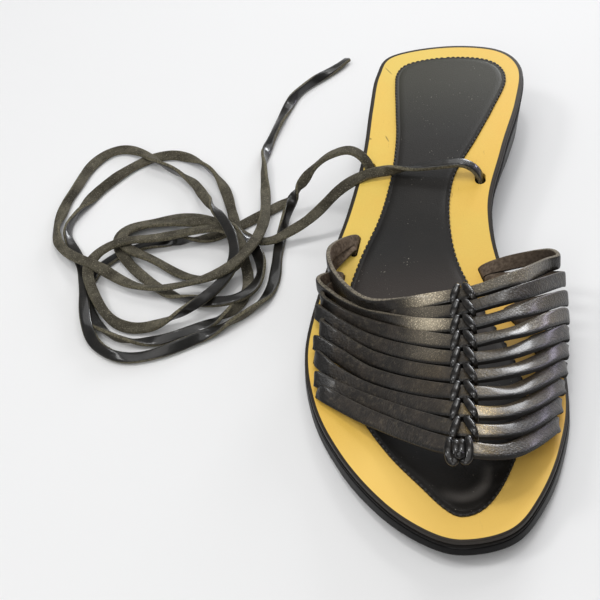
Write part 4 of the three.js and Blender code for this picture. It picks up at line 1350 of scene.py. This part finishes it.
class SANDAL_OT_strips(bpy.types.Operator):
    """Ten leather strips, in pairs that share a slot on each side"""
    bl_idname = "sandal.strips"
    bl_label = "Vamp strips"

    def execute(self, context):
        sizes = context.scene.sandal_sizes
        last = Last(sizes)
        grids = [strip_grid(last, sizes, strip) for strip in range(1, STRIPS + 1)]
        tones = {
            "painted_highlight": [self.painted_highlight(strip, len(grid)) for strip, (grid, _) in enumerate(grids)],
            "raw_edge": RAW_EDGE,
        }
        finish = strip_leather(context.scene.sandal_colours)
        strips = piece("vamp_strips", grids, finish, "side", tones)
        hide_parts("upper")
        return {"FINISHED"}

    @staticmethod
    def painted_highlight(strip, rows):
        """How much painted highlight a strip has along its way: a soft hump on each side of the lace and one
        before its inner turn."""
        ahead = np.linspace(0, SPANS, rows)[:, None] - CROWN
        humps = (np.exp(-((ahead - patch["shift"]) / patch["reach"]) ** 2) for patch in PAINTED_HIGHLIGHT)
        return sum(patch["strips"][strip] * hump for patch, hump in zip(PAINTED_HIGHLIGHT, humps))


class SANDAL_OT_lace(bpy.types.Operator):
    """Lace worked down the middle of the vamp, with two end loops over the last strip"""
    bl_idname = "sandal.lace"
    bl_label = "Vamp lace"

    def execute(self, context):
        sizes = context.scene.sandal_sizes
        last = Last(sizes)
        grids = []
        for strip in range(1, STRIPS):
            grids += self.legs(last, sizes, strip)
        grids += self.loops(last, sizes)
        grids.append(self.spine(last, sizes))
        lace = piece("vamp_lace", grids, lace_leather(), "side")
        return {"FINISHED"}

    @staticmethod
    def spot(last, sizes, strip):
        """Places near a strip's crown: millimetres sideways, strip pitches ahead down the lace, millimetres
        up."""
        centre, _, _, up = crown_frame(last, sizes, strip)
        neighbours = (max(strip - 1, 1), min(strip + 1, STRIPS))
        behind, in_front = (crown_frame(last, sizes, k)[0] for k in neighbours)
        over = unit(in_front - behind)
        up = unit(up - over * (up @ over))
        side = np.cross(up, over)
        return lambda sideways, ahead, rise: (
            centre + side * (sideways + LACE_SHIFT) + over * (ahead * STRIP_PITCH) + up * rise)

    @staticmethod
    def strand(points, widths, thick, steps=28):
        """A flat lace through the points whose width follows the list of widths along it."""
        share = np.linspace(0, 1, steps)
        path = centripetal(np.array(points), share)
        run = tangents(path)
        over = unit(np.cross(run, LACE_FACE))
        breadth = np.interp(share, np.linspace(0, 1, len(widths)), widths)
        section = band_section(1.0, thick, points=16, corner=0.75)
        return carried(path, over, np.cross(over, run), section, breadth)

    def legs(self, last, sizes, strip):
        """Two leaf-shaped legs of an inverted V over a strip, diving into the gaps before and behind it. The
        outer leg is the steeper one."""
        at = self.spot(last, sizes, strip)
        face = sizes.strip_thick / MM / 2
        wide = sizes.lace_width / MM
        widths = (0.5 * wide, 0.7 * wide, wide, wide, 0.75 * wide, 0.45 * wide)
        return [self.strand([
            at(sign * 1.1, -0.64, -face - 0.5),
            at(sign * 1.2, -0.47, face + 0.3),
            at(sign * (1.2 + 0.3 * spread), -0.14, face + 0.8),
            at(sign * (1.2 + 0.75 * spread), 0.24, face + 0.85),
            at(sign * (1.2 + spread), 0.47, face + 0.2),
            at(sign * (1.2 + spread), 0.54, -face - 0.6),
        ], widths, LEG_THICK) for sign, spread in LEG_SPREAD]

    def loops(self, last, sizes):
        """The two ends: each comes down over the last strip, hangs past its front edge and turns back up
        beside the middle, where a knot holds both."""
        at = self.spot(last, sizes, STRIPS)
        face = sizes.strip_thick / MM / 2
        wide = sizes.lace_width / MM
        widths = (0.7 * wide, 0.8 * wide, *[0.95 * wide] * 6, 0.8 * wide, 0.6 * wide)
        middle = LOOP_MIDDLE
        loops = [self.strand([
            at(middle + sign * 2.6, -0.5, -face - 0.4),
            at(middle + sign * 2.8, -0.34, face + 0.5),
            at(middle + sign * 3.1, 0.05, face + 0.9),
            at(middle + sign * 3.2, 0.4, face + 0.6),
            at(middle + sign * 2.7, 0.68, face - 0.2),
            at(middle + sign * 1.8, 0.78, face - 0.4),
            at(middle + sign * 1.0, 0.62, face - 0.1),
            at(middle + sign * 0.9, 0.25, face + 0.8),
            at(middle + sign * 0.9, -0.1, face + 0.9),
            at(middle + sign * 0.8, -0.5, -face - 0.4),
        ], widths, LOOP_THICK, 60) for sign in (-1, 1)]
        knot = self.strand([
            at(middle - 1.0, 0.55, face + 0.5),
            at(middle + 0.3, 0.62, face + 1.5),
            at(middle + 1.6, 0.58, face + 0.5),
        ], (0.6 * wide, 1.1 * wide, 0.6 * wide), LOOP_THICK, 14)
        return loops + [knot]

    @staticmethod
    def spine(last, sizes):
        """The lace's run below the strips, from the first to the last."""
        frames = [crown_frame(last, sizes, strip) for strip in range(1, STRIPS + 1)]
        drop = sizes.strip_thick / MM / 2 + SPINE["drop"]
        path = centripetal(np.array([f[0] - f[3] * drop for f in frames]), np.linspace(0, 1, 60))
        over = unit(np.broadcast_to(frames[0][1], path.shape))
        up = unit(np.cross(over, tangents(path)))
        section = band_section(SPINE["width"], LEG_THICK, points=16, corner=0.5)
        return carried(path, over, up, section)


class SANDAL_PT_panel(bpy.types.Panel):
    """Sizes, colours and pieces of the sandal"""
    bl_idname = "SANDAL_PT_panel"
    bl_label = "Gladiator sandal"
    bl_space_type = "VIEW_3D"
    bl_region_type = "UI"
    bl_category = "Sandal"

    def draw(self, context):
        for name in GROUPS:
            group = getattr(context.scene, name)
            for label in group.__annotations__:
                self.layout.prop(group, label)
        for operator in OPERATORS:
            self.layout.operator(operator.bl_idname)


OPERATORS = (
    SANDAL_OT_stage,
    SANDAL_OT_ties,
    SANDAL_OT_sole,
    SANDAL_OT_insole,
    SANDAL_OT_sock,
    SANDAL_OT_strips,
    SANDAL_OT_lace,
)
GROUPS = {"sandal_sizes": SandalSizes, "sandal_colours": SandalColours, "sandal_stage": SandalStage}


def register():
    for item in (*GROUPS.values(), *OPERATORS, SANDAL_PT_panel):
        bpy.utils.register_class(item)
    for name, group in GROUPS.items():
        setattr(bpy.types.Scene, name, bpy.props.PointerProperty(type=group))


def unregister():
    for name in GROUPS:
        delattr(bpy.types.Scene, name)
    for item in (SANDAL_PT_panel, *OPERATORS[::-1], *GROUPS.values()):
        bpy.utils.unregister_class(item)


def main():
    register()
    bpy.ops.sandal.stage()
    bpy.ops.sandal.ties()
    bpy.ops.sandal.sole()
    bpy.ops.sandal.insole()
    bpy.ops.sandal.sock()
    bpy.ops.sandal.strips()
    bpy.ops.sandal.lace()


if __name__ == "__main__":
    main()
